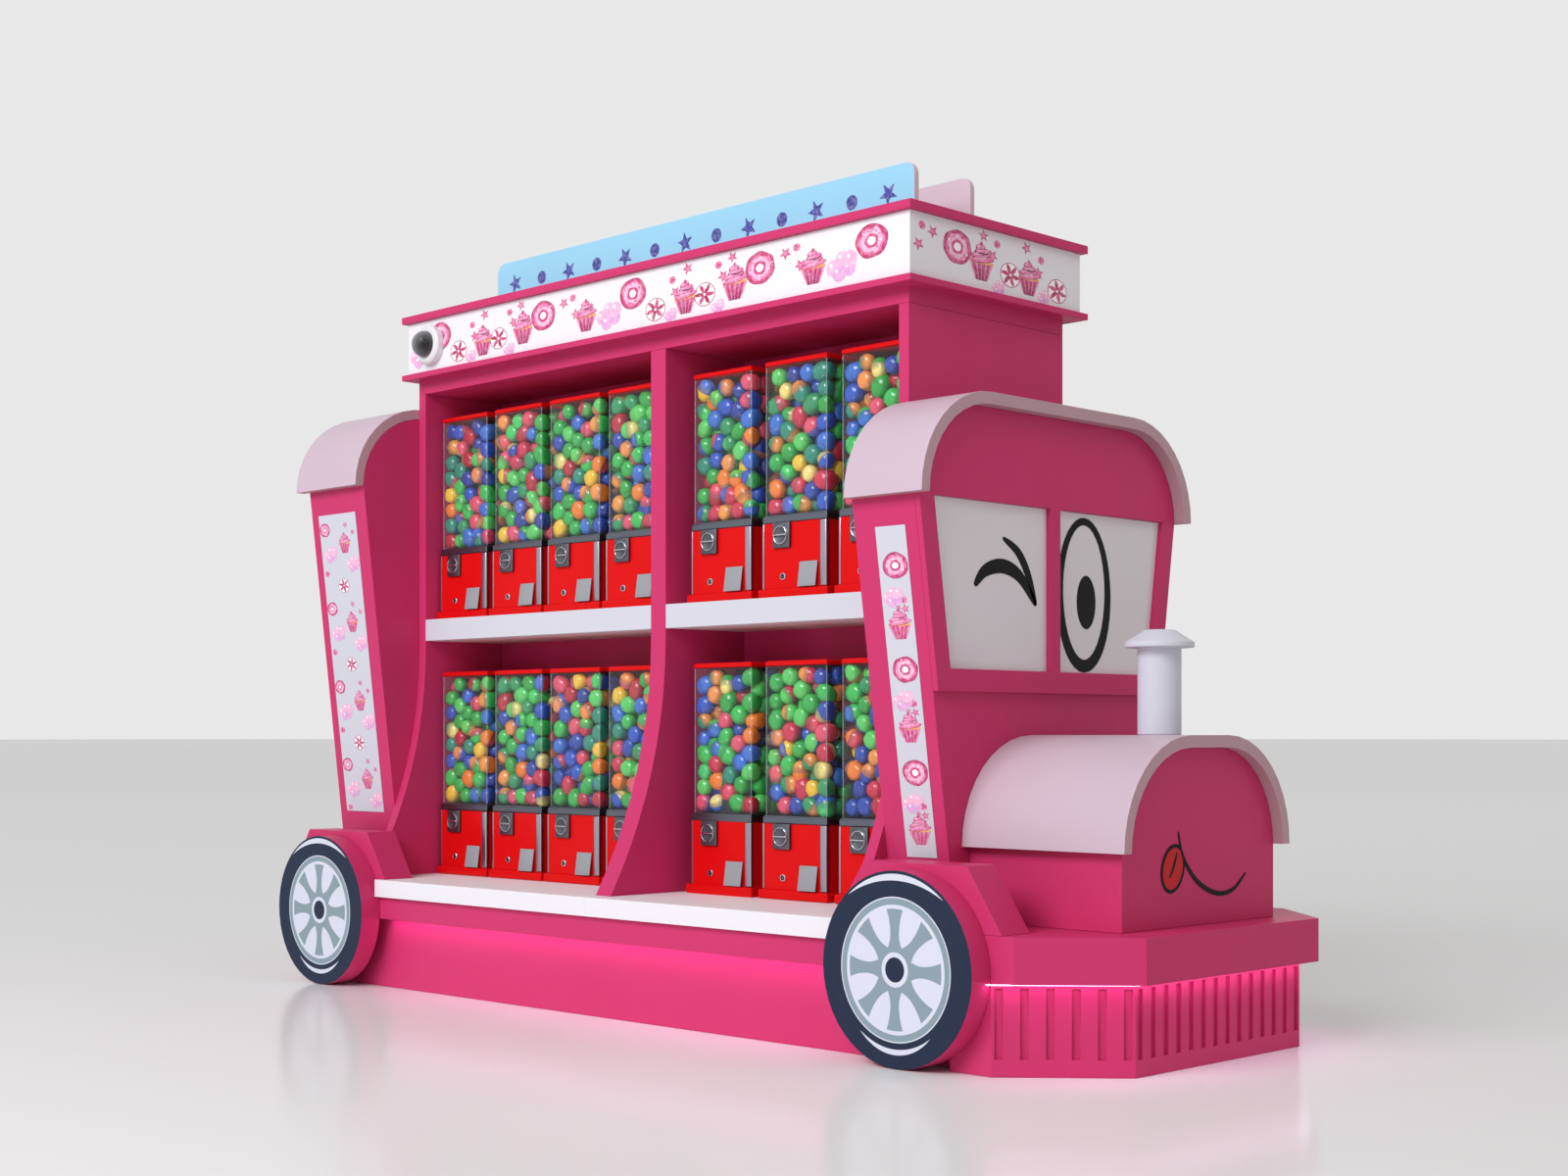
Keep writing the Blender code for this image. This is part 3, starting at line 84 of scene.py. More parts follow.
@dataclass(frozen=True)
class Number:
    """A value socket in a shader, whose arithmetic adds Math nodes."""

    shader: "Shader"
    socket: bpy.types.NodeSocket

    def __add__(self, other: Any) -> "Number":
        """Self plus other."""
        return self.shader.maths("ADD", self, other)

    def __radd__(self, other: Any) -> "Number":
        """Other plus self."""
        return self.shader.maths("ADD", other, self)

    def __sub__(self, other: Any) -> "Number":
        """Self less other."""
        return self.shader.maths("SUBTRACT", self, other)

    def __rsub__(self, other: Any) -> "Number":
        """Other less self."""
        return self.shader.maths("SUBTRACT", other, self)

    def __mul__(self, other: Any) -> "Number":
        """Self times other."""
        return self.shader.maths("MULTIPLY", self, other)

    def __rmul__(self, other: Any) -> "Number":
        """Other times self."""
        return self.shader.maths("MULTIPLY", other, self)

    def __truediv__(self, other: Any) -> "Number":
        """Self over other."""
        return self.shader.maths("DIVIDE", self, other)

    def __gt__(self, other: Any) -> "Number":
        """1 where self is the greater, else 0."""
        return self.shader.maths("GREATER_THAN", self, other)

    def __lt__(self, other: Any) -> "Number":
        """1 where self is the smaller, else 0."""
        return self.shader.maths("LESS_THAN", self, other)

    def __abs__(self) -> "Number":
        """Self without its sign."""
        return self.shader.maths("ABSOLUTE", self)

    def ramp(self, low: float, high: float) -> "Number":
        """A smooth step from 0 at low to 1 at high."""
        inputs = {"Value": self, "From Min": low, "From Max": high}
        made = self.shader.node("MapRange", {"interpolation_type": "SMOOTHSTEP"}, inputs)
        return Number(self.shader, made.outputs[0])


class Shader:
    """One material, or the world, under construction."""

    def __init__(self, name: str, world: bpy.types.World | None = None) -> None:
        """Starts an empty material.

        Args:
            name: The material's name.
            world: The world to dress instead.
        """
        self.material = world or bpy.data.materials.new(name)
        self.material.use_nodes = True
        self.tree = self.material.node_tree
        self.tree.nodes.clear()

    def node(
        self, kind: str, settings: dict[str, Any] | None = None, inputs: dict[Any, Any] | None = None
    ) -> bpy.types.Node:
        """Adds any node.

        Args:
            kind: The node's type without its ShaderNode prefix.
            settings: Its own settings, which are set first.
            inputs: Values or sockets by input name or index.

        Returns:
            The node.
        """
        made = self.tree.nodes.new("ShaderNode" + kind)
        for key, value in (settings or {}).items():
            setattr(made, key, value)
        for key, value in (inputs or {}).items():
            value = value.socket if isinstance(value, Number) else value
            if isinstance(value, bpy.types.NodeSocket):
                self.tree.links.new(value, made.inputs[key])
            elif made.inputs[key].type == "RGBA":
                made.inputs[key].default_value = (*value[:3], 1.0)
            else:
                made.inputs[key].default_value = value
        return made

    def maths(self, operation: str, *values: Any) -> Number:
        """Adds one Math node.

        Args:
            operation: The node's operation.
            values: Its inputs in order, numbers or sockets.

        Returns:
            The node's result.
        """
        return Number(self, self.node("Math", {"operation": operation}, dict(enumerate(values))).outputs[0])

    def place(self) -> bpy.types.NodeSocket:
        """The piece's own coordinates, in metres."""
        return self.node("TexCoord").outputs["Object"]

    def axes(self, vector: Any) -> tuple[Number, Number, Number]:
        """The three parts of a vector socket."""
        parts = self.node("SeparateXYZ", inputs={0: vector}).outputs
        return tuple(Number(self, part) for part in parts)

    def moved(self, vector: Any, location: Point = (0, 0, 0), scale: Point = (1, 1, 1)) -> bpy.types.NodeSocket:
        """A vector centred and scaled by a Mapping node."""
        return self.node("Mapping", inputs={"Vector": vector, "Location": location, "Scale": scale}).outputs[0]

    def attribute(self, name: str) -> bpy.types.Node:
        """The node that reads one of the mesh's attributes."""
        return self.node("Attribute", {"attribute_name": name})

    def noise(self, vector: Any, scale: float, detail: float = 2.0) -> Number:
        """Soft noise between 0 and 1."""
        inputs = {"Vector": vector, "Scale": scale, "Detail": detail, "Roughness": 0.55}
        return Number(self, self.node("TexNoise", inputs=inputs).outputs[0])

    def mix(self, factor: Any, first: Any, second: Any, blend: str = "MIX") -> bpy.types.NodeSocket:
        """Blends two colours.

        Args:
            factor: Share of the second.
            first: A colour or a socket.
            second: A colour or a socket.
            blend: The Mix node's blend type.

        Returns:
            The blended colour.
        """
        made = self.node("Mix", {"data_type": "RGBA", "blend_type": blend}, {0: factor, 6: first, 7: second})
        return made.outputs[2]

    def bump(self, height: Any, distance: float, strength: float = 1.0) -> bpy.types.NodeSocket:
        """A normal bent by a height in metres times distance."""
        made = self.node("Bump", inputs={"Height": height, "Distance": distance, "Strength": strength})
        return made.outputs[0]

    def principled(self, **inputs: Any) -> bpy.types.NodeSocket:
        """A Principled shader, its inputs named with underscores for spaces."""
        named = {key.replace("_", " "): value for key, value in inputs.items()}
        return self.node("BsdfPrincipled", inputs=named).outputs[0]

    def done(self, surface: bpy.types.NodeSocket) -> bpy.types.Material:
        """Joins a surface to the output and gives the material."""
        self.node("OutputMaterial", inputs={"Surface": surface})
        return self.material


@dataclass(frozen=True)
class Paint:
    """A sprayed or laminated board: satin, with a fine skin and faint clouding."""

    name: str
    colour: Colour
    roughness: float = 0.36
    clouding: float = 0.035
    skin: float = 0.00006
    coat: float = 0.0
    gloss: float = 0.16
    wear: float = 0.12

    def material(self) -> bpy.types.Material:
        """The board's material."""
        shader = Shader(self.name)
        place = shader.place()
        cloud = shader.noise(place, 2.4, 4.0)
        base = shader.mix(cloud, toned(self.colour, 1 - self.clouding), toned(self.colour, 1 + self.clouding))
        handled = shader.noise(place, 9.0, 5.0)
        roughness = handled * self.wear + (self.roughness - self.wear / 2)
        skin = shader.noise(place, 420.0, 1.0)
        normal = shader.bump(skin, self.skin)
        surface = shader.principled(
            Base_Color=base, Roughness=roughness, Normal=normal, Specular_IOR_Level=self.gloss,
            Coat_Weight=self.coat, Coat_Roughness=0.12,
        )
        return shader.done(surface)


@dataclass(frozen=True)
class Metal:
    """Bare or plated metal, brushed along one axis."""

    name: str
    colour: Colour
    roughness: float
    grain: Point = (1.0, 1.0, 1.0)
    grain_depth: float = 0.00002

    def material(self) -> bpy.types.Material:
        """The metal's material."""
        shader = Shader(self.name)
        place = shader.place()
        brushed = shader.noise(shader.moved(place, scale=self.grain), 260.0, 3.0)
        smudged = shader.noise(place, 14.0, 4.0)
        base = shader.mix(brushed, toned(self.colour, 0.90), toned(self.colour, 1.06))
        surface = shader.principled(
            Base_Color=base,
            Metallic=1.0,
            Roughness=smudged * 0.10 + brushed * 0.06 + (self.roughness - 0.08),
            Normal=shader.bump(brushed, self.grain_depth),
        )
        return shader.done(surface)


@dataclass(frozen=True)
class Clear:
    """Clear or smoked sheet: light passes, and its gloss shows what stands round it."""

    name: str
    tint: Colour
    gloss: float
    haze: float

    def material(self) -> bpy.types.Material:
        """The sheet's material."""
        shader = Shader(self.name)
        place = shader.place()
        smears = shader.noise(place, 6.0, 5.0)
        through = shader.node("BsdfTransparent", inputs={"Color": self.tint}).outputs[0]
        shine = shader.principled(
            Base_Color=(0.75, 0.78, 0.80),
            Roughness=smears * 0.08 + 0.03,
            Specular_IOR_Level=1.0,
            Coat_Weight=1.0,
        )
        edge = Number(shader, shader.node("LayerWeight", inputs={"Blend": 0.25}).outputs[1])
        share = edge * self.gloss + smears * self.haze
        mixed = shader.node("MixShader", inputs={0: share, 1: through, 2: shine})
        return shader.done(mixed.outputs[0])


@dataclass(frozen=True)
class Glow:
    """The frosted cover of a light strip, brighter over each diode."""

    name: str
    colour: Colour
    strength: float
    pitch: float = 0.0167

    def material(self) -> bpy.types.Material:
        """The cover's material."""
        shader = Shader(self.name)
        along, across, _ = shader.axes(shader.place())
        phase = (along + across) * (FULL_TURN / self.pitch)
        beat = shader.maths("SINE", phase)
        glow = shader.mix(beat * 0.25 + 0.25, self.colour, (1.0, 0.55, 0.80))
        surface = shader.principled(
            Base_Color=(0.9, 0.6, 0.75), Roughness=0.5, Emission_Color=glow, Emission_Strength=self.strength
        )
        return shader.done(surface)


@dataclass(frozen=True)
class PrintInk:
    """Printed vinyl that takes each shape's colour, washed unevenly like watercolour."""

    name: str
    wash: float = 0.22
    roughness: float = 0.34

    def material(self) -> bpy.types.Material:
        """The ink's material."""
        shader = Shader(self.name)
        place = shader.place()
        wash = shader.noise(place, 95.0, 5.0)
        ink = shader.attribute(INK).outputs["Color"]
        light = shader.mix(wash.ramp(0.42, 0.72) * self.wash, ink, (1.0, 0.93, 0.97))
        base = shader.mix(wash.ramp(0.58, 0.30) * self.wash * 0.8, light, ink, "MULTIPLY")
        surface = shader.principled(Base_Color=base, Roughness=wash * 0.08 + self.roughness)
        return shader.done(surface)


@dataclass(frozen=True)
class CapsuleShell:
    """A glossy two-part toy capsule: one half solid, the other solid or clear over a toy."""

    name: str

    def material(self) -> bpy.types.Material:
        """The capsules' material, which reads each one's own coordinates and colours."""
        shader = Shader(self.name)
        own = shader.attribute("capsule").outputs["Vector"]
        x, y, z = shader.axes(own)
        lower = shader.attribute(INK)
        upper = shader.attribute("toy").outputs["Color"]
        clear = Number(shader, shader.attribute("clear").outputs["Fac"])
        across = x * x + y * y
        toy = across.ramp(0.92, 0.50)
        # A clear half shows its toy in the middle and darkens towards its rim: painted shade for the dim inside
        # of the canister seen through clear plastic.
        rim = shader.mix(0.45, (0.020, 0.040, 0.050), upper)
        seen = shader.mix(toy, rim, upper)
        cap = shader.mix(clear, lower.outputs["Color"], seen)
        mottle = shader.noise(own, 2.2, 3.0)
        body = shader.mix(mottle * 0.35, lower.outputs["Color"], (0.02, 0.02, 0.03), "MULTIPLY")
        halves = shader.mix(z.ramp(0.03, 0.06), lower.outputs["Color"], cap)
        shaded = shader.mix(mottle.ramp(0.35, 0.75) * 0.3, halves, body)
        seam = abs(z - 0.04).ramp(0.05, 0.015)
        base = shader.mix(seam * 0.45, shaded, (0.03, 0.03, 0.04))
        surface = shader.principled(
            Base_Color=base,
            Roughness=mottle * 0.10 + 0.12,
            Normal=shader.bump(seam, 0.0006),
            Coat_Weight=0.35,
            Coat_Roughness=0.05,
        )
        return shader.done(surface)


@dataclass(frozen=True)
class WheelPrint:
    """The printed face of a wheel: tyre with two shines, thin ring, rim, flared spokes and hub."""

    name: str
    centre_x: float
    centre_z: float
    radius: float
    navy: Colour = linear(28, 40, 64)
    steel: Colour = linear(134, 154, 162)
    pale: Colour = linear(212, 215, 228)
    spokes: int = 8
    spoke_end: float = 0.615
    waist: float = 0.36
    waist_half: float = 0.058
    flare_out: float = 0.80
    flare_in: float = 2.2
    rim: float = 0.735
    rim_line: float = 0.722
    well: float = 0.655
    hub_ring: float = 0.205
    hub: float = 0.177
    hub_cap: float = 0.127

    def material(self) -> bpy.types.Material:
        """The print, drawn in polar coordinates about the wheel's axis."""
        shader = Shader(self.name)
        size = 1 / self.radius
        middle = (-self.centre_x * size, 0, -self.centre_z * size)
        centred = shader.moved(shader.place(), middle, (size, size, size))
        x, _, z = shader.axes(centred)

        def reach(height: float) -> Number:
            """Distance from a point on the upright through the centre."""
            rise = z - height
            return shader.maths("SQRT", x * x + rise * rise)

        out = reach(0.0)
        step = FULL_TURN / self.spokes
        turn = shader.maths("ARCTAN2", z, x) / step + 0.5
        share = shader.maths("FRACT", turn) - 0.5
        off = share * step
        away = abs(out * shader.maths("SINE", off))
        outer = shader.maths("MAXIMUM", out - self.waist, 0.0)
        inner = shader.maths("MAXIMUM", self.waist - out, 0.0)
        half = outer * outer * self.flare_out + inner * inner * self.flare_in + self.waist_half
        spoke = (away < half) * (out < self.spoke_end)
        upper_shine = (out < 0.966) * (reach(-0.366) > 1.264)
        lower_shine = (out > 0.800) * (reach(-0.223) < 0.633) * (z < 0.0)

        layers = (
            (out < self.rim, self.pale),
            (out < self.rim_line, self.steel),
            (out < self.well, self.pale),
            (spoke, self.steel),
            (out < self.hub_ring, self.steel),
            (out < self.hub, self.pale),
            (out < self.hub_cap, self.navy),
            (upper_shine, self.pale),
            (lower_shine, self.pale),
        )
        base: Any = self.navy
        for mask, colour in layers:
            base = shader.mix(mask, base, colour)
        scuffs = shader.noise(shader.place(), 34.0, 6.0)
        base = shader.mix(scuffs * 0.02, base, (0.45, 0.47, 0.52))
        skin = shader.noise(shader.place(), 420.0, 1.0)
        surface = shader.principled(
            Base_Color=base,
            Roughness=scuffs * 0.14 + 0.40,
            Normal=shader.bump(skin, 0.00005),
            Specular_IOR_Level=0.15,
        )
        return shader.done(surface)


class Finish(Enum):
    """Every finish of the kiosk and its machines."""

    PINK = Paint("pink_satin_board", (0.575, 0.036, 0.145), 0.42)
    WHITE = Paint("white_laminate_board", (0.800, 0.790, 0.830), 0.46, 0.006, 0.00002, 0.0, 0.2, 0.03)
    # A lighter copy of the white laminate for the counters' tops and ends: painted light, so the tops stand
    # brighter than the upright faces.
    COUNTER_TOP_LIGHT = Paint("bright_laminate_board", (0.900, 0.870, 0.900), 0.44, 0.006, 0.00002, 0.0, 0.2, 0.03)
    # A darker copy of the white laminate: painted shade, on the shelves' upright faces, the whole chimney and
    # the printed panels on the cabs' leaning sides.
    SHADED_WHITE = Paint("white_board_painted_shade", (0.610, 0.620, 0.680), 0.42, 0.010, 0.00002, 0.0, 0.2, 0.03)
    ROOF = Paint("pale_pink_roof", (0.580, 0.450, 0.525), 0.34)
    ROOF_EDGE = Paint("mauve_roof_edge", (0.500, 0.320, 0.355), 0.44)
    SIGN_FACE = Paint("sky_blue_print", linear(153, 212, 238), 0.30, 0.05)
    SIGN_BACK = Paint("sign_back_board", (0.690, 0.560, 0.630), 0.40)
    PANE = Paint("milky_pane", linear(222, 217, 221), 0.16, 0.02, 0.00002, 0.5)
    RED = Paint("red_enamel", (0.680, 0.004, 0.005), 0.30, 0.03, 0.00008, 0.0, 0.09)
    BLACK = Paint("black_vinyl", (0.006, 0.006, 0.007), 0.50, gloss=0.12)
    WHITE_PLASTIC = Paint("white_plastic", (0.780, 0.780, 0.800), 0.30, 0.01, 0.00004, 0.2)
    EYE = Paint("black_gloss", (0.010, 0.010, 0.012), 0.10, 0.2, 0.00001, 1.0)
    # Near-black plastic for the dispensing wheel under the capsules: painted shadow at the canister's foot.
    SHADOW_PLASTIC = Paint("near_black_painted_shadow", (0.030, 0.034, 0.042), 0.32)
    COLLAR = Metal("satin_dark_zinc", linear(112, 118, 128), 0.34, (1, 1, 14))
    PLATE = Metal("cast_dark_zinc", linear(104, 108, 116), 0.42)
    FLAP = Paint("grey_zinc_flap", linear(150, 153, 158), 0.46, 0.02, 0.00004, 0.0, 0.3, 0.05)
    TRIM = Metal("bright_trim", linear(176, 172, 184), 0.30, (18, 18, 1))
    CHROME = Metal("chrome", linear(206, 209, 214), 0.18)
    GLASS = Clear("clear_canister_sheet", (0.985, 0.99, 0.99), 0.10, 0.012)
    # Whitish hazed sheet for the slim corner posts: a painted glint standing in for light bent at the canister's
    # clear corners.
    CORNER_GLINT = Clear("canister_corner_painted_glint", (0.90, 0.94, 0.94), 0.5, 0.30)
    DOME = Clear("smoked_dome", (0.32, 0.32, 0.34), 0.75, 0.06)
    LIGHT = Glow("pink_light_strip", (0.72, 0.40, 0.78), 17.0)
    PRINT = PrintInk("printed_vinyl")
    TONGUE = Paint("tongue_vinyl", linear(196, 22, 34), 0.32)
    CAPSULES = CapsuleShell("toy_capsules")


@cache
def material_of(finish: Finish) -> bpy.types.Material:
    """A finish's material, made the first time it is asked for."""
    return finish.value.material()


def dress(nodes: dict[str, Finish]) -> None:
    """Gives CAD nodes that stay a finish each."""
    for node, finish in nodes.items():
        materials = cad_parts[node].data.materials
        materials.clear()
        materials.append(material_of(finish))


def linked(name: str, data: bpy.types.ID) -> bpy.types.Object:
    """An object made from its data and put in the scene."""
    made = bpy.data.objects.new(name, data)
    bpy.context.scene.collection.objects.link(made)
    return made


# ---------------------------------------------------------------- geometry


class Solid:
    """Geometry under construction, with the operators that the kiosk's pieces need."""

    def __init__(self) -> None:
        """Starts empty, with a colour for each face corner."""
        self.bm = bmesh.new()
        self.ink = self.bm.loops.layers.float_color.new(INK)

    def join(
        self, part: bmesh.types.BMesh, place: Matrix | None = None, finish: int = 0
    ) -> list[bmesh.types.BMFace]:
        """Moves a finished part in.

        Args:
            part: The part, which is freed.
            place: Where it goes.
            finish: Which of the piece's materials it takes.

        Returns:
            The faces that it became.
        """
        if place is not None:
            bmesh.ops.transform(part, matrix=place, verts=part.verts)
        for face in part.faces:
            face.material_index = finish
        mesh = bpy.data.meshes.new("part")
        part.to_mesh(mesh)
        part.free()
        before = len(self.bm.faces)
        self.bm.from_mesh(mesh)
        bpy.data.meshes.remove(mesh)
        self.bm.faces.ensure_lookup_table()
        return self.bm.faces[before:]

    def box(
        self, low: Sequence[float], high: Sequence[float], bevel: float = 0.0, segments: int = 2, **where: Any
    ) -> None:
        """Adds a box with its edges rounded.

        Args:
            low: Its lowest corner.
            high: Its highest corner.
            bevel: Radius of its edges.
            segments: Faces across an edge.
            where: Place and finish, as join takes them.
        """
        part = bmesh.new()
        low, high = Vector(low), Vector(high)
        size = Matrix.Diagonal((*(high - low), 1.0))
        bmesh.ops.create_cube(part, size=1.0, matrix=Matrix.Translation((low + high) / 2) @ size)
        if bevel:
            rounded(part, part.edges[:], bevel, segments)
        self.join(part, **where)

    def turned(self, profile: Sequence[Spot], place: Matrix, steps: int = 24, finish: int = 0) -> None:
        """Adds a shape turned on the Z axis from a closed or axis-to-axis profile.

        Args:
            profile: Radius and height of each point.
            place: Where the shape goes.
            steps: Faces round it.
            finish: Which of the piece's materials it takes.
        """
        part = bmesh.new()
        ring = [part.verts.new((radius, 0, height)) for radius, height in profile]
        ends_on_axis = profile[0][0] == 0 and profile[-1][0] == 0
        pairs = zip(ring, ring[1:] + ([] if ends_on_axis else ring[:1]))
        edges = [part.edges.new(pair) for pair in pairs]
        bmesh.ops.spin(
            part, geom=ring + edges, cent=(0, 0, 0), axis=(0, 0, 1), dvec=(0, 0, 0),
            angle=FULL_TURN, steps=steps, use_merge=True, use_duplicate=False,
        )
        bmesh.ops.remove_doubles(part, verts=part.verts, dist=WELD)
        bmesh.ops.recalc_face_normals(part, faces=part.faces)
        self.join(part, place, finish)

    def ring(self, major: float, minor: float, place: Matrix, steps: int = 28, finish: int = 0) -> None:
        """Adds a ring of round section about the Z axis."""
        section = [
            (major + minor * math.cos(a), minor * math.sin(a))
            for a in (FULL_TURN * i / 8 for i in range(8))
        ]
        self.turned(section, place, steps, finish)

    def shape(
        self,
        place: Matrix,
        size: Spot,
        depth: float,
        colour: Colour,
        segments: int = 24,
        outline: Callable[[float], float] | None = None,
        warp: Callable[[Vector], Vector] | None = None,
        finish: int = 0,
    ) -> None:
        """Adds a flat printed or cut shape, a closed slip lying on its place's XY plane.

        Args:
            place: Its middle and directions.
            size: Its half width and half height.
            depth: How far it stands off the surface.
            colour: Its ink.
            segments: Corners round it.
            outline: Radius factor by angle in turns from 0 to 1.
            warp: Any further change of a corner in the plane, before it is placed.
            finish: Which of the piece's materials it takes.
        """
        part = bmesh.new()
        bmesh.ops.create_circle(part, cap_ends=True, segments=segments, radius=1.0)
        for index, vert in enumerate(part.verts):
            factor = outline(index / segments) if outline else 1.0
            vert.co = Vector((vert.co.x * size[0] * factor, vert.co.y * size[1] * factor, 0.0))
            if warp:
                vert.co = warp(vert.co)
        raised(part, depth)
        self.coloured(self.join(part, place, finish), colour)

    def ribbon(
        self, points: Sequence[Vector], widths: Sequence[float], place: Matrix, depth: float, finish: int = 0
    ) -> None:
        """Adds a flat tapering stroke along a smooth path.

        Args:
            points: The path in the place's XY plane.
            widths: The stroke's full width at each point.
            place: The plane's middle and directions.
            depth: How far it stands off the surface.
            finish: Which of the piece's materials it takes.
        """
        part = bmesh.new()
        count = len(points)
        bmesh.ops.create_grid(part, x_segments=count - 1, y_segments=1, size=1.0)
        closed = (points[0] - points[-1]).length < 1e-6
        columns = sorted(part.verts, key=lambda vert: (round(vert.co.x, 5), vert.co.y))
        for i, point in enumerate(points):
            after = points[(i + 1) % count] if i < count - 1 or not closed else points[1]
            before = points[i - 1] if i or not closed else points[-2]
            after = point if i == count - 1 and not closed else after
            before = point if i == 0 and not closed else before
            along = (after - before).normalized()
            aside = Vector((-along.y, along.x, 0)) * widths[i] / 2
            columns[2 * i].co, columns[2 * i + 1].co = point - aside, point + aside
        bmesh.ops.remove_doubles(part, verts=part.verts, dist=WELD)
        raised(part, depth)
        self.join(part, place, finish)

    def coloured(self, faces: Iterable[bmesh.types.BMFace], colour: Colour) -> None:
        """Gives faces an ink."""
        for face in faces:
            for loop in face.loops:
                loop[self.ink] = (*colour, 1.0)

    def piece(
        self,
        name: str,
        finishes: Sequence[Finish | bpy.types.Material],
        slot: str,
        body: str = "kiosk",
        stands_for: Sequence[str] = (),
        sharp: float = 42.0,
        weighted: bool = True,
    ) -> bpy.types.Object:
        """Makes the geometry a piece of the kiosk.

        Args:
            name: The piece's name.
            finishes: Its materials in order.
            slot: Not used.
            body: The CAD body that it rides on.
            stands_for: CAD nodes that it replaces.
            sharp: Angle in degrees from which an edge stays sharp.
            weighted: Whether large faces keep flat shading.

        Returns:
            The object.
        """
        mesh = bpy.data.meshes.new(name)
        self.bm.to_mesh(mesh)
        self.bm.free()
        mesh.shade_smooth()
        mesh.set_sharp_from_angle(angle=math.radians(sharp))
        made = linked(name, mesh)
        for finish in finishes:
            mesh.materials.append(material_of(finish) if isinstance(finish, Finish) else finish)
        if weighted:
            made.modifiers.new("flat_faces", "WEIGHTED_NORMAL").keep_sharp = True
        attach(made, body)
        if stands_for:
            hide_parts(*stands_for)
        log.info("%s: %d faces", name, len(mesh.polygons))
        return made


def raised(part: bmesh.types.BMesh, height: float) -> None:
    """Extrudes a flat part upwards, which closes it."""
    lifted = bmesh.ops.extrude_face_region(part, geom=part.faces[:])
    tops = [item for item in lifted["geom"] if isinstance(item, bmesh.types.BMVert)]
    bmesh.ops.translate(part, verts=tops, vec=(0, 0, height))
    bmesh.ops.recalc_face_normals(part, faces=part.faces)


def rounded(
    part: bmesh.types.BMesh, edges: Sequence[bmesh.types.BMEdge], width: float, segments: int = 2
) -> None:
    """Rounds edges of a part.

    Args:
        part: The part.
        edges: Its edges to round.
        width: How far the rounding reaches along each face.
        segments: Faces across it.
    """
    bmesh.ops.bevel(
        part, geom=list(edges), offset=width, offset_type="OFFSET", affect="EDGES",
        segments=segments, profile=0.5, material=-1, clamp_overlap=True,
    )


def node_solid(node: str, width: float = 0.0014, segments: int = 2) -> Solid:
    """A merged copy of a CAD node with its hard edges eased.

    Args:
        node: The CAD node.
        width: How far each edge is eased.
        segments: Faces across an edge.

    Returns:
        The geometry.
    """
    solid = Solid()
    part = bmesh.new()
    part.from_mesh(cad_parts[node].data)
    bmesh.ops.remove_doubles(part, verts=part.verts, dist=CAD_WELD)
    bmesh.ops.dissolve_limit(part, angle_limit=FLAT_ANGLE, verts=part.verts, edges=part.edges)
    hard = [e for e in part.edges if len(e.link_faces) == 2 and e.calc_face_angle(0.0) > HARD_ANGLE]
    if width:
        rounded(part, hard, width, segments)
    solid.join(part)
    return solid


def basis(origin: Sequence[float], across: Sequence[float], up: Sequence[float]) -> Matrix:
    """A place whose X runs across, Y up, and Z out of the surface."""
    x, y = Vector(across).normalized(), Vector(up).normalized()
    z = x.cross(y).normalized()
    turn = Matrix((x, y, z)).transposed().to_4x4()
    return Matrix.Translation(Vector(origin)) @ turn


# ---------------------------------------------------------------- the kiosk's boards


@dataclass
class BoardWork:
    """Every board of the kiosk: eased edges and sprayed, laminated or printed faces."""

    ease: float = 0.0014
    chimney_ease: float = 0.003
    pane_ease: float = 0.0006
    pink: tuple[str, ...] = (
        "plinth", "front_skirt", "rear_skirt", "base_deck", "end_wall_front", "end_wall_rear", "divider",
        "partition_front", "partition_rear", "top_board", "cornice_cap", "cab_front_shell", "window_frame",
        "cab_rear_shell", "hood_shell", "fender_front_right", "fender_front_left", "fender_rear_right",
        "fender_rear_left",
    )
    white: tuple[str, ...] = (
        "counter_front", "counter_rear", "shelf_front_right", "shelf_front_left", "shelf_rear_right",
        "shelf_rear_left", "fascia", "chimney",
    )
    roofs: tuple[str, ...] = ("cab_front_roof", "cab_rear_roof", "hood_roof")
    panes: tuple[str, ...] = ("window_pane_right", "window_pane_left")

    def build(self) -> None:
        """Makes each board from its CAD node."""
        for node in self.pink:
            node_solid(node, self.ease).piece(f"{node}_board", [Finish.PINK], "pink_board", stands_for=[node])
        for node in self.white:
            self.white_board(node)
        for node in self.roofs:
            self.roof(node)
        for node in self.panes:
            solid = node_solid(node, self.pane_ease)
            solid.piece(f"{node}_sheet", [Finish.PANE], "window_pane", stands_for=[node])

    def white_board(self, node: str) -> None:
        """Makes a white part: the chimney all in a darker white as painted shade, a shelf with its upright faces
        in that darker white as painted shade, or a counter with its top and ends in a lighter white as painted
        light.
        """
        chimney, counter = node == "chimney", node.startswith("counter")
        lit_and_shaded = counter or node.startswith("shelf")
        solid = node_solid(node, self.chimney_ease if chimney else self.ease)
        for face in solid.bm.faces:
            # Faces that face the sides take the second finish, and the chimney takes it all over: painted shade
            # in a darker white, except on counters, where the plain white sits under tops in the lighter
            # painted-light white.
            face.material_index = int(chimney or lit_and_shaded and abs(face.normal.y) > 0.5)
        finishes = [Finish.COUNTER_TOP_LIGHT, Finish.WHITE] if counter else [Finish.WHITE, Finish.SHADED_WHITE]
        solid.piece(f"{node}_board", finishes, "white_board", stands_for=[node])

    def roof(self, node: str) -> None:
        """Makes a bent roof whose sawn ends are darker than its skin."""
        solid = node_solid(node, self.ease)
        for face in solid.bm.faces:
            under = face.normal.z < -0.05 and abs(face.normal.x) < 0.5
            face.material_index = int(abs(face.normal.x) > 0.6 or under)
        solid.piece(f"{node}_board", [Finish.ROOF, Finish.ROOF_EDGE], "roof_board", stands_for=[node])


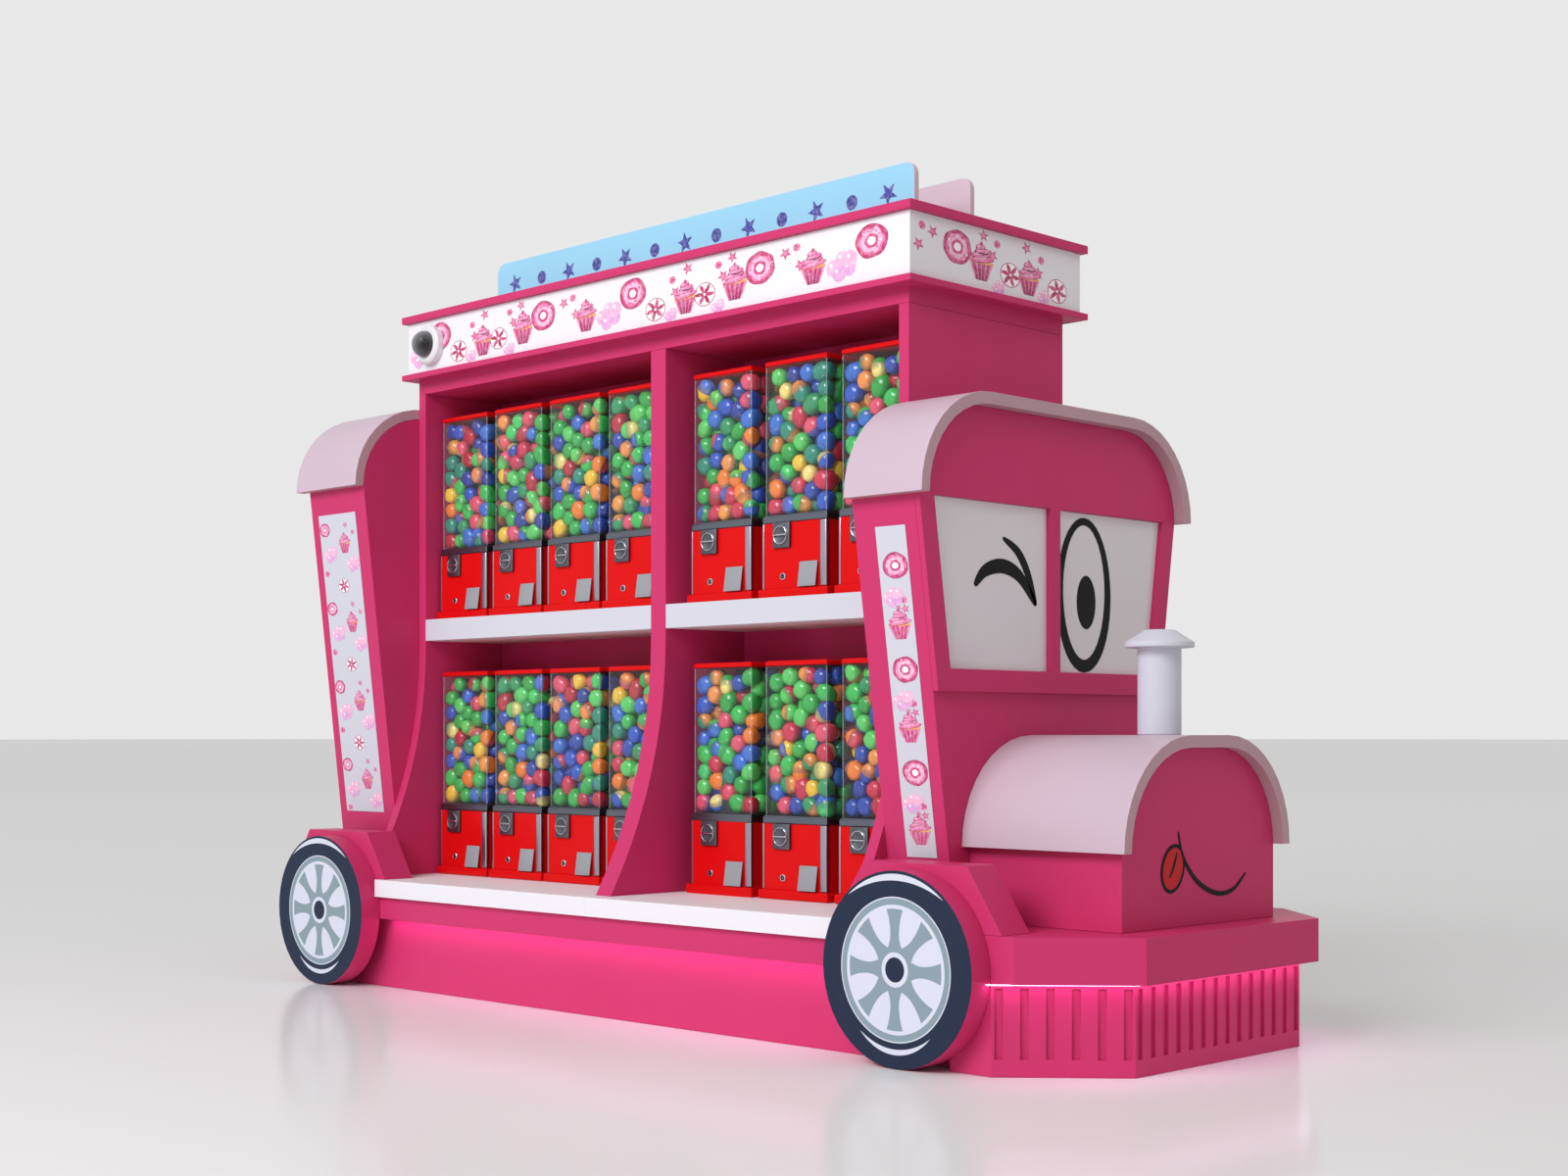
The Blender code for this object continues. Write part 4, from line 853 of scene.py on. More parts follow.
@dataclass
class WheelSet:
    """The four wheels: pink drums with a printed outer face."""

    ease: float = 0.003

    def build(self) -> None:
        """Makes the wheels, one print for each axle."""
        for end in ("front", "rear"):
            low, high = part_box(f"wheel_{end}_right")
            middle = (low + high) / 2
            printed = WheelPrint(f"wheel_print_{end}", middle.x, middle.z, (high.z - low.z) / 2).material()
            for side in SIDES:
                node = f"wheel_{end}_{side}"
                solid = node_solid(node, self.ease, 3)
                for face in solid.bm.faces:
                    face.material_index = int(face.normal.y * SIDES[side] > 0.5)
                solid.piece(f"{node}_disc", [Finish.PINK, printed], "wheel_drum", stands_for=[node])


@dataclass
class LightStrips:
    """Light strips in slim channels under the deck's rim, which wash the plinth and the skirts."""

    height: float = 0.0022
    backing: float = 0.0006
    width: float = 0.010
    from_face: float = 0.018
    off_wheel: float = 0.01
    lip: float = 0.0015
    below_deck: float = 0.0003
    past_end: float = 0.002
    mitre: float = 0.004
    corner_share: float = 0.4
    nearly: float = 0.0005
    bevels: Spot = (0.0006, 0.0002)

    def build(self) -> None:
        """Makes the strips along both flanks and round the nose."""
        deck_low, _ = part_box("base_deck")
        plinth_low, plinth_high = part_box("plinth")
        top = deck_low.z - self.below_deck
        strips = Solid()
        channels = Solid()
        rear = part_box("wheel_rear_right")[1].x + self.off_wheel
        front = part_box("wheel_front_right")[0].x - self.off_wheel
        round_strip, round_channel = self.bevels
        cover, back = top - self.height, top - self.backing
        for side in SIDES.values():
            face = plinth_high.y if side > 0 else plinth_low.y
            near, far = sorted((face + side * self.from_face, face + side * (self.from_face + self.width)))
            strips.box((rear, near, cover), (front, far, back), round_strip)
            corner = (front + self.past_end, far + self.lip, top)
            channels.box((rear - self.past_end, near - self.lip, back), corner, round_channel)
        corners = self.nose_line()
        wide = self.width / 2
        for start, end in zip(corners, corners[1:]):
            place = basis((*((start + end) / 2).xy, top), end - start, (0, 0, 1))
            half = (end - start).length / 2 - self.mitre
            strips.box((-half, -self.height, -wide), (half, -self.backing, wide), round_strip, place=place)
            wider = wide + self.lip
            channels.box((-half, -self.backing, -wider), (half, 0, wider), round_channel, place=place)
        strips.piece("light_strip_covers", [Finish.LIGHT], "white_plastic", weighted=False)
        channels.piece("light_strip_channels", [Finish.TRIM], "grey_steel", weighted=False)

    def nose_line(self) -> list[Vector]:
        """The corners of the strip's line round the front skirt, in order."""
        _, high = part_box("front_skirt")
        reach = self.from_face + self.width / 2
        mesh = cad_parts["front_skirt"].data
        nose_half = max(round(v.co.y, 3) for v in mesh.vertices if v.co.x > high.x - self.nearly)
        side_x = max(v.co.x for v in mesh.vertices if v.co.y > high.y - self.nearly)
        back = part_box("wheel_front_right")[1].x + self.off_wheel
        half = [
            Vector((back, high.y + reach, 0)),
            Vector((side_x + reach * self.corner_share, high.y + reach, 0)),
            Vector((high.x + reach, nose_half + reach * self.corner_share, 0)),
        ]
        return half + [Vector((p.x, -p.y, 0)) for p in reversed(half)]


# ---------------------------------------------------------------- prints


class Motif(Enum):
    """The small sweets and party shapes of the prints."""

    DONUT = "donut"
    CUPCAKE = "cupcake"
    BALLOONS = "balloons"
    SWIRL = "swirl"
    MINI_SWIRL = "mini_swirl"
    STAR = "star"


@dataclass
class Confectioner:
    """Draws each motif as layers of thin ink on a plane."""

    solid: Solid
    place: Matrix
    rng: random.Random
    layer: float = 0.00012
    circle: float = 6.28
    magenta: Colour = linear(200, 52, 118)
    deep: Colour = linear(170, 34, 88)
    glaze: Colour = linear(230, 122, 172)
    blush: Colour = linear(242, 182, 212)
    lilac: Colour = linear(224, 166, 214)
    cream: Colour = linear(252, 246, 250)
    gold: Colour = linear(238, 176, 84)

    def put(
        self, x: float, y: float, size: Spot, colour: Colour, level: int, turn: float = 0.0, **shape: Any
    ) -> None:
        """Lays one shape.

        Args:
            x: Its middle across the print.
            y: Its middle up the print.
            size: Its half width and half height.
            colour: Its ink.
            level: Its place in the stack of layers.
            turn: Its turn in radians.
            shape: Segments, outline or warp, as Solid.shape takes them.
        """
        place = self.place @ Matrix.Translation((x, y, 0)) @ Matrix.Rotation(turn, 4, "Z")
        self.solid.shape(place, size, self.layer * level, colour, **shape)

    def draw(self, motif: Motif, x: float, y: float, size: float) -> None:
        """Draws a motif.

        Args:
            motif: Which one.
            x: Its middle across the print.
            y: Its middle up the print.
            size: Its half height.
        """
        getattr(self, motif.value)(x, y, size)

    def wobble(self, amount: float) -> Callable[[float], float]:
        """An uneven outline, the same all the way round each time it is read."""
        waves = [(self.rng.randint(3, 7), self.rng.random() * self.circle, amount / (k + 1)) for k in range(3)]
        return lambda t: 1 + sum(a * math.sin(FULL_TURN * n * t + p) for n, p, a in waves)

    def donut(self, x: float, y: float, r: float) -> None:
        """A glazed ring with sprinkles."""
        rings = (
            (1.00, self.deep, 0.02),
            (0.94, self.magenta, 0.02),
            (0.78, self.glaze, 0.06),
            (0.66, self.blush, 0.08),
        )
        for level, (share, colour, uneven) in enumerate(rings, 1):
            self.put(x, y, (r * share, r * share), colour, level, outline=self.wobble(uneven), segments=32)
        for _ in range(11):
            angle, out = self.rng.random() * self.circle, r * self.rng.uniform(0.50, 0.82)
            at = (x + out * math.cos(angle), y + out * math.sin(angle))
            colour, turn = self.rng.choice((self.deep, self.cream)), self.rng.random() * 3
            self.put(*at, (r * 0.09, r * 0.035), colour, 5, turn, segments=8)
        self.put(x, y, (r * 0.42, r * 0.42), self.magenta, 5, outline=self.wobble(0.05), segments=20)
        self.put(x, y, (r * 0.25, r * 0.25), self.cream, 6, segments=20)

    def swirl(self, x: float, y: float, r: float) -> None:
        """A boiled sweet with curved stripes."""
        self.put(x, y, (r, r), self.deep, 1, segments=28)
        self.put(x, y, (r * 0.93, r * 0.93), self.cream, 2, segments=28)
        start = self.rng.random()
        for arm in range(6):
            angle = FULL_TURN * (arm / 6 + start)
            at = (x + r * 0.50 * math.cos(angle), y + r * 0.50 * math.sin(angle))
            colour = self.magenta if arm % 2 else self.deep
            curved = lambda p: p + Vector((0, (p.x / r) ** 2 * r * 0.45, 0))
            self.put(*at, (r * 0.42, r * 0.17), colour, 3, angle, warp=curved, segments=12)

    def mini_swirl(self, x: float, y: float, r: float) -> None:
        """A small sweet in its wrapper's twist."""
        self.put(x, y, (r, r), self.glaze, 1, segments=14)
        for arm in range(3):
            angle = 2.1 * arm
            at = (x + r * 0.4 * math.cos(angle), y + r * 0.4 * math.sin(angle))
            self.put(*at, (r * 0.40, r * 0.18), self.deep, 2, angle, segments=8)

    def star(self, x: float, y: float, r: float) -> None:
        """A five-pointed star."""
        turn = math.pi / 2 + self.rng.uniform(-0.3, 0.3)
        self.put(x, y, (r, r), self.magenta, 1, turn, segments=10, outline=star_point)
        self.put(x, y, (r * 0.6, r * 0.6), self.glaze, 2, turn, segments=10, outline=star_point)

    def balloons(self, x: float, y: float, r: float) -> None:
        """A loose bunch of balloons."""
        bunch = ((-0.55, -0.1), (0.5, -0.25), (0.05, 0.35), (-0.15, -0.5), (0.6, 0.3))
        for i, (dx, dy) in enumerate(bunch):
            at, shine = (x + dx * r, y + dy * r), (r * 0.10, r * 0.14)
            self.put(*at, (r * 0.43, r * 0.50), self.lilac if i % 2 else self.blush, 1 + i, segments=20)
            self.put(at[0] - r * 0.14, at[1] + r * 0.18, shine, self.cream, 2 + i, 0.5, segments=10)

    def cupcake(self, x: float, y: float, r: float) -> None:
        """A cupcake: pleated case, gold rim and piped icing."""
        case_top, case_low = y + r * 0.02, y - r * 0.95
        self.case(x, case_low, (case_top - case_low) / 2, r)
        self.put(x, case_top, (r * 0.80, r * 0.10), self.gold, 3, segments=20)
        tilt = 0.14
        for i, (width, rise) in enumerate(((0.74, 0.16), (0.60, 0.38), (0.44, 0.58), (0.26, 0.78))):
            over, up = x + r * 0.05 * (-1) ** i, y + rise * r
            self.put(over, up, (r * (width + 0.05), r * 0.19), self.deep, 4 + i, tilt, segments=20)
            self.put(over, up + r * 0.02, (r * width, r * 0.16), self.glaze, 5 + i, tilt, segments=20)
            shine = (r * width * 0.6, r * 0.05)
            self.put(over - r * 0.1, up + r * 0.05, shine, self.blush, 6 + i, tilt, segments=12)
        self.put(x, y + r * 0.97, (r * 0.09, r * 0.13), self.magenta, 9, segments=10)

    def case(self, x: float, low: float, height: float, r: float) -> None:
        """The cupcake's pleated paper case, as a fan of slim strips."""
        pleats = 9
        for i in range(pleats):
            share = (i + 0.5) / pleats * 2 - 1
            lean = share * r * 0.20

            def strip(p: Vector, lean: float = lean) -> Vector:
                """Leans a strip outwards with height."""
                return Vector((p.x * (1 + 0.2 * p.y / height) + lean * p.y / height, p.y, 0))

            colour = self.magenta if i % 2 else self.glaze
            self.put(
                x + share * r * 0.56, low + height, (r * 0.105, height * 1.38), colour, 1,
                segments=4, warp=lambda p, strip=strip: strip(square_corner(p, r * 0.075, height)),
            )


def star_point(share: float) -> float:
    """Radius factor of a star's ten corners, which lie out and in by turns."""
    return 1.0 if round(share * 10) % 2 == 0 else 0.42


def square_corner(p: Vector, half: float, height: float) -> Vector:
    """Takes a corner of a four-sided circle to the like corner of an upright rectangle."""
    turned = Vector((p.x - p.y, p.x + p.y, 0))
    return Vector((half if turned.x > 0 else -half, height if turned.y > 0 else -height, 0))


@dataclass
class PrintedPanels:
    """Sweet-shop prints: on the fascia all round, and on white panels up the cabs' sides."""

    seed: int = 7
    tile: float = 1.0
    pitch: float = 0.276
    stretch: float = 1.28
    side_offset: float = 0.42
    end_offset: float = 0.80
    fascia_clearance: float = 1.1
    panel_clearance: float = 1.05
    panel_lift: float = 0.0006
    panel_skins: Spot = (-0.0003, 0.0016)
    panel_ease: float = 0.0005
    panel_ink: float = 0.0017
    front_panel: tuple[Spot, Spot] = ((0.34, 0.82), (0.523, 1.40))
    rear_panel: tuple[Spot, Spot] = ((0.13, 0.81), (0.581, 1.62))
    fascia_pattern: tuple[tuple[Motif, float, float, float], ...] = (
        (Motif.DONUT, 0.00, 0.60, 0.27),
        (Motif.STAR, 0.105, 0.74, 0.11),
        (Motif.MINI_SWIRL, 0.150, 0.80, 0.065),
        (Motif.STAR, 0.165, 0.50, 0.11),
        (Motif.CUPCAKE, 0.215, 0.42, 0.28),
        (Motif.BALLOONS, 0.325, 0.36, 0.26),
        (Motif.DONUT, 0.440, 0.64, 0.27),
        (Motif.SWIRL, 0.545, 0.28, 0.20),
        (Motif.BALLOONS, 0.612, 0.14, 0.13),
        (Motif.STAR, 0.635, 0.50, 0.11),
        (Motif.MINI_SWIRL, 0.622, 0.72, 0.065),
        (Motif.CUPCAKE, 0.680, 0.37, 0.28),
        (Motif.STAR, 0.690, 0.86, 0.11),
        (Motif.SWIRL, 0.765, 0.36, 0.20),
        (Motif.BALLOONS, 0.820, 0.12, 0.13),
        (Motif.MINI_SWIRL, 0.825, 0.80, 0.065),
        (Motif.STAR, 0.845, 0.60, 0.11),
        (Motif.CUPCAKE, 0.895, 0.45, 0.30),
        (Motif.STAR, 0.885, 0.88, 0.10),
    )
    strip_pattern: tuple[tuple[Motif, float, float, float], ...] = (
        (Motif.DONUT, 0.06, 0.105, 0.035),
        (Motif.BALLOONS, -0.42, 0.186, 0.029),
        (Motif.MINI_SWIRL, 0.22, 0.196, 0.010),
        (Motif.STAR, 0.25, 0.220, 0.013),
        (Motif.STAR, 0.02, 0.216, 0.009),
        (Motif.CUPCAKE, -0.02, 0.262, 0.040),
    )
    wide_pattern: tuple[tuple[Motif, float, float, float], ...] = (
        (Motif.STAR, 0.20, 0.040, 0.012),
        (Motif.DONUT, -0.40, 0.052, 0.024),
        (Motif.STAR, 0.38, 0.068, 0.011),
        (Motif.CUPCAKE, 0.14, 0.104, 0.035),
        (Motif.BALLOONS, -0.26, 0.138, 0.032),
        (Motif.BALLOONS, 0.34, 0.176, 0.030),
        (Motif.MINI_SWIRL, -0.40, 0.205, 0.011),
        (Motif.SWIRL, 0.02, 0.250, 0.025),
    )

    def build(self) -> None:
        """Prints the fascia's four sides and the four panels."""
        low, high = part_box("fascia")
        lines = {
            "right": ((high.x, low.y - PRINT_GAP, low.z), (1, 0, 0), -1, high.x - low.x),
            "left": ((low.x, high.y + PRINT_GAP, low.z), (-1, 0, 0), -1, high.x - low.x),
            "front": ((high.x + PRINT_GAP, low.y, low.z), (0, 1, 0), 1, high.y - low.y),
            "rear": ((low.x - PRINT_GAP, high.y, low.z), (0, -1, 0), 1, high.y - low.y),
        }
        for name, (start, across, forward, length) in lines.items():
            plane = basis(start, across, (0, 0, 1)) @ Matrix.Diagonal((self.stretch, 1, 1, 1))
            self.fascia_side(name, plane, forward, length, high.z - low.z)
        for side in SIDES:
            self.panel("front", side, *self.front_panel, self.strip_pattern)
            self.panel("rear", side, *self.rear_panel, self.wide_pattern)

    def fascia_side(self, name: str, plane: Matrix, forward: int, length: float, height: float) -> None:
        """Prints one side of the fascia, repeating from one end.

        Args:
            name: The side.
            plane: The side's plane, from its lower corner where the pattern starts.
            forward: 1 if the pattern runs along the plane's X, -1 if against it.
            length: The side's length.
            height: The side's height.
        """
        solid = Solid()
        maker = Confectioner(solid, plane, random.Random(f"{self.seed}{name}"))
        offset = self.side_offset if name in SIDES else self.end_offset
        for copy in range(-1, math.ceil(length / self.tile) + 1):
            for motif, x, y, size in self.fascia_pattern:
                spot = (copy + 1) * self.tile - x - offset
                reach = size * height * self.fascia_clearance * self.stretch
                if reach < spot < length - reach:
                    maker.draw(motif, spot * forward / self.stretch, y * height, size * height)
        solid.piece(f"fascia_print_{name}", [Finish.PRINT], "white_board", weighted=False)

    def panel(
        self,
        cab: str,
        side_name: str,
        shares: Spot,
        heights: Spot,
        pattern: Sequence[tuple[Motif, float, float, float]],
    ) -> None:
        """Fixes a white printed panel on a cab's leaning side.

        Args:
            cab: Which cab, front or rear.
            side_name: The side of the kiosk.
            shares: Where the panel starts and ends along the cab, as shares of its length.
            heights: Its lower and upper edge.
            pattern: Motif, place across as a share of the width, place up the tile, and half height.
        """
        name, node, side = f"{cab}_cab_print_{side_name}", f"cab_{cab}_shell", SIDES[side_name]
        low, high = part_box(node)
        tree = tree_of(node)
        start, end = (low.x + (high.x - low.x) * share for share in shares)
        middle = (start + end) / 2

        def touch(height: float) -> Vector:
            """The cab's side at a height."""
            hit, _, _, _ = tree.ray_cast(Vector((middle, side * 2.0, height)), Vector((0, -side, 0)))
            return hit

        foot, head = touch(heights[0]), touch(heights[1])
        up = (head - foot).normalized()
        place = basis(foot, (-side, 0, 0), up)
        place = Matrix.Translation(place.col[2].xyz * self.panel_lift) @ place
        length, half = (head - foot).length, (end - start) / 2
        board = Solid()
        back, front = self.panel_skins
        board.box((-half, 0, back), (half, length, front), self.panel_ease, place=place)
        # The panel's board is the darker white: painted shade on the cab's leaning side.
        board.piece(f"{name}_panel", [Finish.SHADED_WHITE], "white_board")
        solid = Solid()
        face = place @ Matrix.Translation((0, 0, self.panel_ink)) @ Matrix.Diagonal((self.stretch, 1, 1, 1))
        half /= self.stretch
        maker = Confectioner(solid, face, random.Random(f"{self.seed}{name}"))
        for copy in range(-1, math.ceil(length / self.pitch)):
            for motif, x, y, size in pattern:
                clear = size * self.panel_clearance
                reach = half - clear
                spot = max(-reach, min(reach, x * half * 2 * -side))
                rise = length - copy * self.pitch - y
                if clear < rise < length - clear:
                    maker.draw(motif, spot, rise, size)
        solid.piece(f"{name}_motifs", [Finish.PRINT], "white_board", weighted=False)


@cache
def tree_of(node: str) -> BVHTree:
    """A CAD node's surface, to find points on."""
    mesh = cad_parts[node].data
    corners = [vert.co.copy() for vert in mesh.vertices]
    return BVHTree.FromPolygons(corners, [tuple(face.vertices) for face in mesh.polygons])


@dataclass
class Signs:
    """The two roof signs: sky-blue faces with plain dark motifs, pale backs and edges."""

    pitch: float = 0.145
    rise: float = 0.115
    size: float = 0.036
    margin: float = 0.16
    dot: float = 0.62
    lighter: float = 1.25
    ease: float = 0.002
    ink: Colour = linear(52, 62, 150)

    def build(self) -> None:
        """Makes both signs and their row of stars and dots."""
        for name, side in SIDES.items():
            node = f"sign_{name}"
            solid = node_solid(node, self.ease)
            for face in solid.bm.faces:
                face.material_index = int(face.normal.y * side > 0.7)
            solid.piece(f"{node}_board", [Finish.SIGN_BACK, Finish.SIGN_FACE], "sign_board", stands_for=[node])
            low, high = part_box(node)
            face_y = high.y if side > 0 else low.y
            marks = Solid()
            place = basis(((low.x + high.x) / 2, face_y + side * PRINT_GAP, low.z), (-side, 0, 0), (0, 0, 1))
            light = toned(self.ink, self.lighter)
            maker = Confectioner(marks, place, random.Random(name), magenta=self.ink, glaze=light)
            count = int((high.x - low.x - self.margin) / self.pitch)
            for i in range(count + 1):
                x = (i - count / 2) * self.pitch
                if i % 2:
                    maker.put(x, self.rise, (self.size * self.dot, self.size * self.dot), self.ink, 1)
                else:
                    maker.star(x, self.rise, self.size)
            marks.piece(f"{node}_marks", [Finish.PRINT], "sign_board", weighted=False)


@dataclass
class Face:
    """A plain winking face: two eyes on the panes, and a smile with its tongue out on the hood."""

    stroke: float = 0.025
    thickness: float = 0.0006
    gap: float = 0.0003
    eye: Point = (0.150, 1.250, 0)
    eye_half: Spot = (0.112, 0.205)
    pupil: Point = (0.160, 1.226, 0)
    pupil_half: Spot = (0.044, 0.076)
    wink: tuple[Spot, ...] = (
        (-0.335, 1.250), (-0.290, 1.292), (-0.215, 1.308), (-0.140, 1.282), (-0.070, 1.208),
    )
    wink_width: float = 0.040
    brow: tuple[Spot, ...] = ((-0.215, 1.385), (-0.150, 1.350), (-0.105, 1.290), (-0.070, 1.208))
    brow_width: float = 0.027
    tongue: Point = (-0.130, 0.505, 0)
    tongue_half: Spot = (0.052, 0.066)
    tongue_inner: Spot = (0.042, 0.056)
    inner_layers: float = 1.8
    tongue_turn: float = math.radians(-24)
    crease: tuple[Spot, ...] = ((-0.112, 0.548), (-0.125, 0.515), (-0.146, 0.480))
    crease_width: float = 0.009
    smile: tuple[Spot, ...] = (
        (-0.105, 0.600), (-0.085, 0.535), (-0.020, 0.468), (0.070, 0.432), (0.150, 0.438), (0.212, 0.480),
    )
    smile_width: float = 0.013
    over_tongue: float = 2.6

    def build(self) -> None:
        """Cuts the face from vinyl."""
        black = (0, 0, 0)
        front = self.plane("window_pane_left")
        eyes = Solid()
        steps = 40
        widths = [self.stroke * (1.15 - 0.3 * math.sin(FULL_TURN * i / steps)) for i in range(steps + 1)]
        eyes.ribbon(self.loop(steps), widths, front, self.thickness)
        eyes.shape(front @ Matrix.Translation(self.pupil), self.pupil_half, self.thickness, black, 32)
        self.brush(eyes, self.wink, self.wink_width, front)
        self.brush(eyes, self.brow, self.brow_width, front)
        eyes.piece("face_eyes", [Finish.BLACK], "black_plastic", weighted=False)

        nose = self.plane("hood_shell")
        mouth = Solid()
        place = nose @ Matrix.Translation(self.tongue) @ Matrix.Rotation(self.tongue_turn, 4, "Z")
        inner = self.thickness * self.inner_layers
        mouth.shape(place, self.tongue_half, self.thickness, black, 32)
        mouth.shape(place, self.tongue_inner, inner, black, 32, finish=1)
        self.brush(mouth, self.crease, self.crease_width, nose, self.over_tongue, 6)
        self.brush(mouth, self.smile, self.smile_width, nose, self.over_tongue)
        mouth.piece("face_mouth", [Finish.BLACK, Finish.TONGUE], "black_plastic", weighted=False)

    def plane(self, node: str) -> Matrix:
        """The upright plane in front of a node, seen from the nose."""
        ahead = Matrix.Translation((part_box(node)[1].x + self.gap, 0, 0))
        return ahead @ basis((0, 0, 0), (0, 1, 0), (0, 0, 1))

    def brush(
        self,
        solid: Solid,
        path: Sequence[Spot],
        width: float,
        place: Matrix,
        layers: float = 1.0,
        steps: int = 8,
    ) -> None:
        """Adds a tapering stroke.

        Args:
            solid: The piece it belongs to.
            path: Points that it passes.
            width: Its width at its middle.
            place: The plane it lies on.
            layers: Its depth in thicknesses of vinyl.
            steps: Steps between each two points.
        """
        points = smooth([Vector((*point, 0)) for point in path], steps)
        widths = [width * taper(i / (len(points) - 1)) for i in range(len(points))]
        solid.ribbon(points, widths, place, self.thickness * layers)

    def loop(self, steps: int) -> list[Vector]:
        """The open eye's rim as a path that ends where it starts."""
        turns = (FULL_TURN * (i % steps) / steps for i in range(steps + 1))
        (x, y, _), (half_x, half_y) = self.eye, self.eye_half
        return [Vector((x + half_x * math.cos(a), y + half_y * math.sin(a), 0)) for a in turns]


def taper(share: float) -> float:
    """Width of a brush stroke along it: thin at its ends."""
    return 0.25 + 0.75 * math.sin(math.pi * min(1.0, max(0.0, share))) ** 0.7


def smooth(points: Sequence[Vector], steps: int) -> list[Vector]:
    """A path through points with steps of curve between each two."""
    made = []
    for i in range(len(points) - 1):
        a, b, c, d = (points[min(max(i + k, 0), len(points) - 1)] for k in (-1, 0, 1, 2))
        square, cube = 2 * a - 5 * b + 4 * c - d, 3 * b - a - 3 * c + d
        for t in (k / steps for k in range(steps)):
            made.append(0.5 * (2 * b + (c - a) * t + square * t**2 + cube * t**3))
    return [*made, points[-1]]


@dataclass
class DomeCamera:
    """The security camera on the fascia."""

    def build(self) -> None:
        """Dresses the base, the smoked dome and the turning eye."""
        shell = node_solid("camera_base", 0.0012)
        shell.piece("camera_base_shell", [Finish.WHITE_PLASTIC], "camera_plastic", stands_for=["camera_base"])
        dress({"camera_dome": Finish.DOME, "camera_eye": Finish.EYE})


# ---------------------------------------------------------------- capsules


@dataclass
class CapsuleStock:
    """Toy capsules packed in a canister, in a few arrangements that the machines share."""

    half: float
    low: float
    high: float
    count: int = 186
    arrangements: int = 4
    rounds: int = 170
    settling: float = 0.8
    drop: float = 0.0004
    push: float = 0.42
    pressed: float = 0.72
    radius: Spot = (0.0260, 0.0315)
    egg: float = 1.32
    egg_share: float = 0.58
    clear_share: float = 0.50
    first_seed: int = 40
    palette: tuple[Colour, ...] = (
        linear(45, 190, 80), linear(30, 165, 60), linear(85, 205, 95), linear(20, 140, 115),
        linear(35, 175, 70), linear(30, 150, 90), linear(25, 80, 190), linear(20, 55, 150),
        linear(45, 110, 205), linear(25, 70, 170), linear(205, 30, 70), linear(225, 75, 105),
        linear(185, 20, 45), linear(240, 125, 25), linear(240, 195, 45),
    )
    toys: tuple[Colour, ...] = (
        linear(60, 210, 90), linear(45, 110, 220), linear(245, 225, 130), linear(235, 70, 100),
        linear(245, 150, 60),
    )
    meshes: list[bpy.types.Mesh] = field(default_factory=list)

    def packed(self, rng: np.random.Generator) -> tuple[np.ndarray, np.ndarray]:
        """Drops balls in the canister and pushes them apart until they rest.

        Args:
            rng: The seeded source of the first places and sizes.

        Returns:
            Their middles and radii.
        """
        radii = rng.uniform(*self.radius, self.count)
        low, high = (-self.half, -self.half, self.low), (self.half, self.half, self.high)
        spots = rng.uniform(low, high, (self.count, 3))
        floor, wall = self.low + radii, self.half - radii * self.pressed
        for turn in range(self.rounds):
            spots[:, 2] -= self.drop if turn < self.rounds * self.settling else 0.0
            gaps = spots[:, None] - spots[None]
            apart = np.linalg.norm(gaps, axis=2) + np.eye(self.count)
            short = np.clip(radii[:, None] + radii[None] - apart, 0, None)
            np.fill_diagonal(short, 0)
            spots += (gaps / apart[..., None] * short[..., None]).sum(1) * self.push
            spots[:, :2] = np.clip(spots[:, :2], -wall[:, None], wall[:, None])
            spots[:, 2] = np.clip(spots[:, 2], floor, self.high - radii)
        return spots, radii

    def build(self) -> None:
        """Makes the mesh of each arrangement."""
        low, high = Vector((-self.half, -self.half, self.low)), Vector((self.half, self.half, self.high))
        for index in range(self.arrangements):
            rng = np.random.default_rng(self.first_seed + index)
            spots, radii = self.packed(rng)
            solid = bmesh.new()
            own = solid.verts.layers.float_vector.new("capsule")
            ink = solid.verts.layers.float_color.new(INK)
            toy = solid.verts.layers.float_color.new("toy")
            clear = solid.verts.layers.float.new("clear")
            for spot, radius in zip(spots, radii):
                egg = self.egg if rng.random() < self.egg_share else 1.0
                turn = Euler(rng.uniform(0, FULL_TURN, 3)).to_matrix().to_4x4()
                tint = self.palette[rng.integers(len(self.palette))]
                inside = self.toys[rng.integers(len(self.toys))]
                is_clear = float(rng.random() < self.clear_share)
                size = Matrix.Diagonal((radius, radius, radius * egg, 1))
                made = bmesh.ops.create_icosphere(solid, subdivisions=2, radius=1.0)["verts"]
                place = Matrix.Translation(Vector(spot)) @ turn @ size
                for vert in made:
                    vert[own] = vert.co
                    vert[ink] = (*tint, 1)
                    vert[toy] = (*inside, 1)
                    vert[clear] = is_clear
                    moved = place @ vert.co
                    vert.co = [max(l, min(h, c)) for l, h, c in zip(low, high, moved)]
            mesh = bpy.data.meshes.new("capsule_arrangement")
            solid.to_mesh(mesh)
            solid.free()
            self.meshes.append(mesh)
        log.info("capsules: %d arrangements of %d", self.arrangements, self.count)

    def fill(self, name: str, places: Sequence[Matrix], first: int) -> bpy.types.Object:
        """Fills canisters with arrangements turned and shuffled.

        Args:
            name: The piece's name.
            places: Each machine's place.
            first: Where in the run of arrangements this group starts.

        Returns:
            The object.
        """
        whole = bmesh.new()
        for i, place in enumerate(places):
            number = first + i
            before = len(whole.verts)
            whole.from_mesh(self.meshes[number % self.arrangements])
            whole.verts.ensure_lookup_table()
            quarter = Matrix.Rotation(math.pi / 2 * ((number * 3 + number // 4) % 4), 4, "Z")
            bmesh.ops.transform(whole, matrix=place @ quarter, verts=whole.verts[before:])
        mesh = bpy.data.meshes.new(name)
        whole.to_mesh(mesh)
        whole.free()
        mesh.shade_smooth()
        made = linked(name, mesh)
        mesh.materials.append(material_of(Finish.CAPSULES))
        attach(made, "kiosk")
        log.info("%s: %d faces", name, len(mesh.polygons))
        return made


# ---------------------------------------------------------------- machines

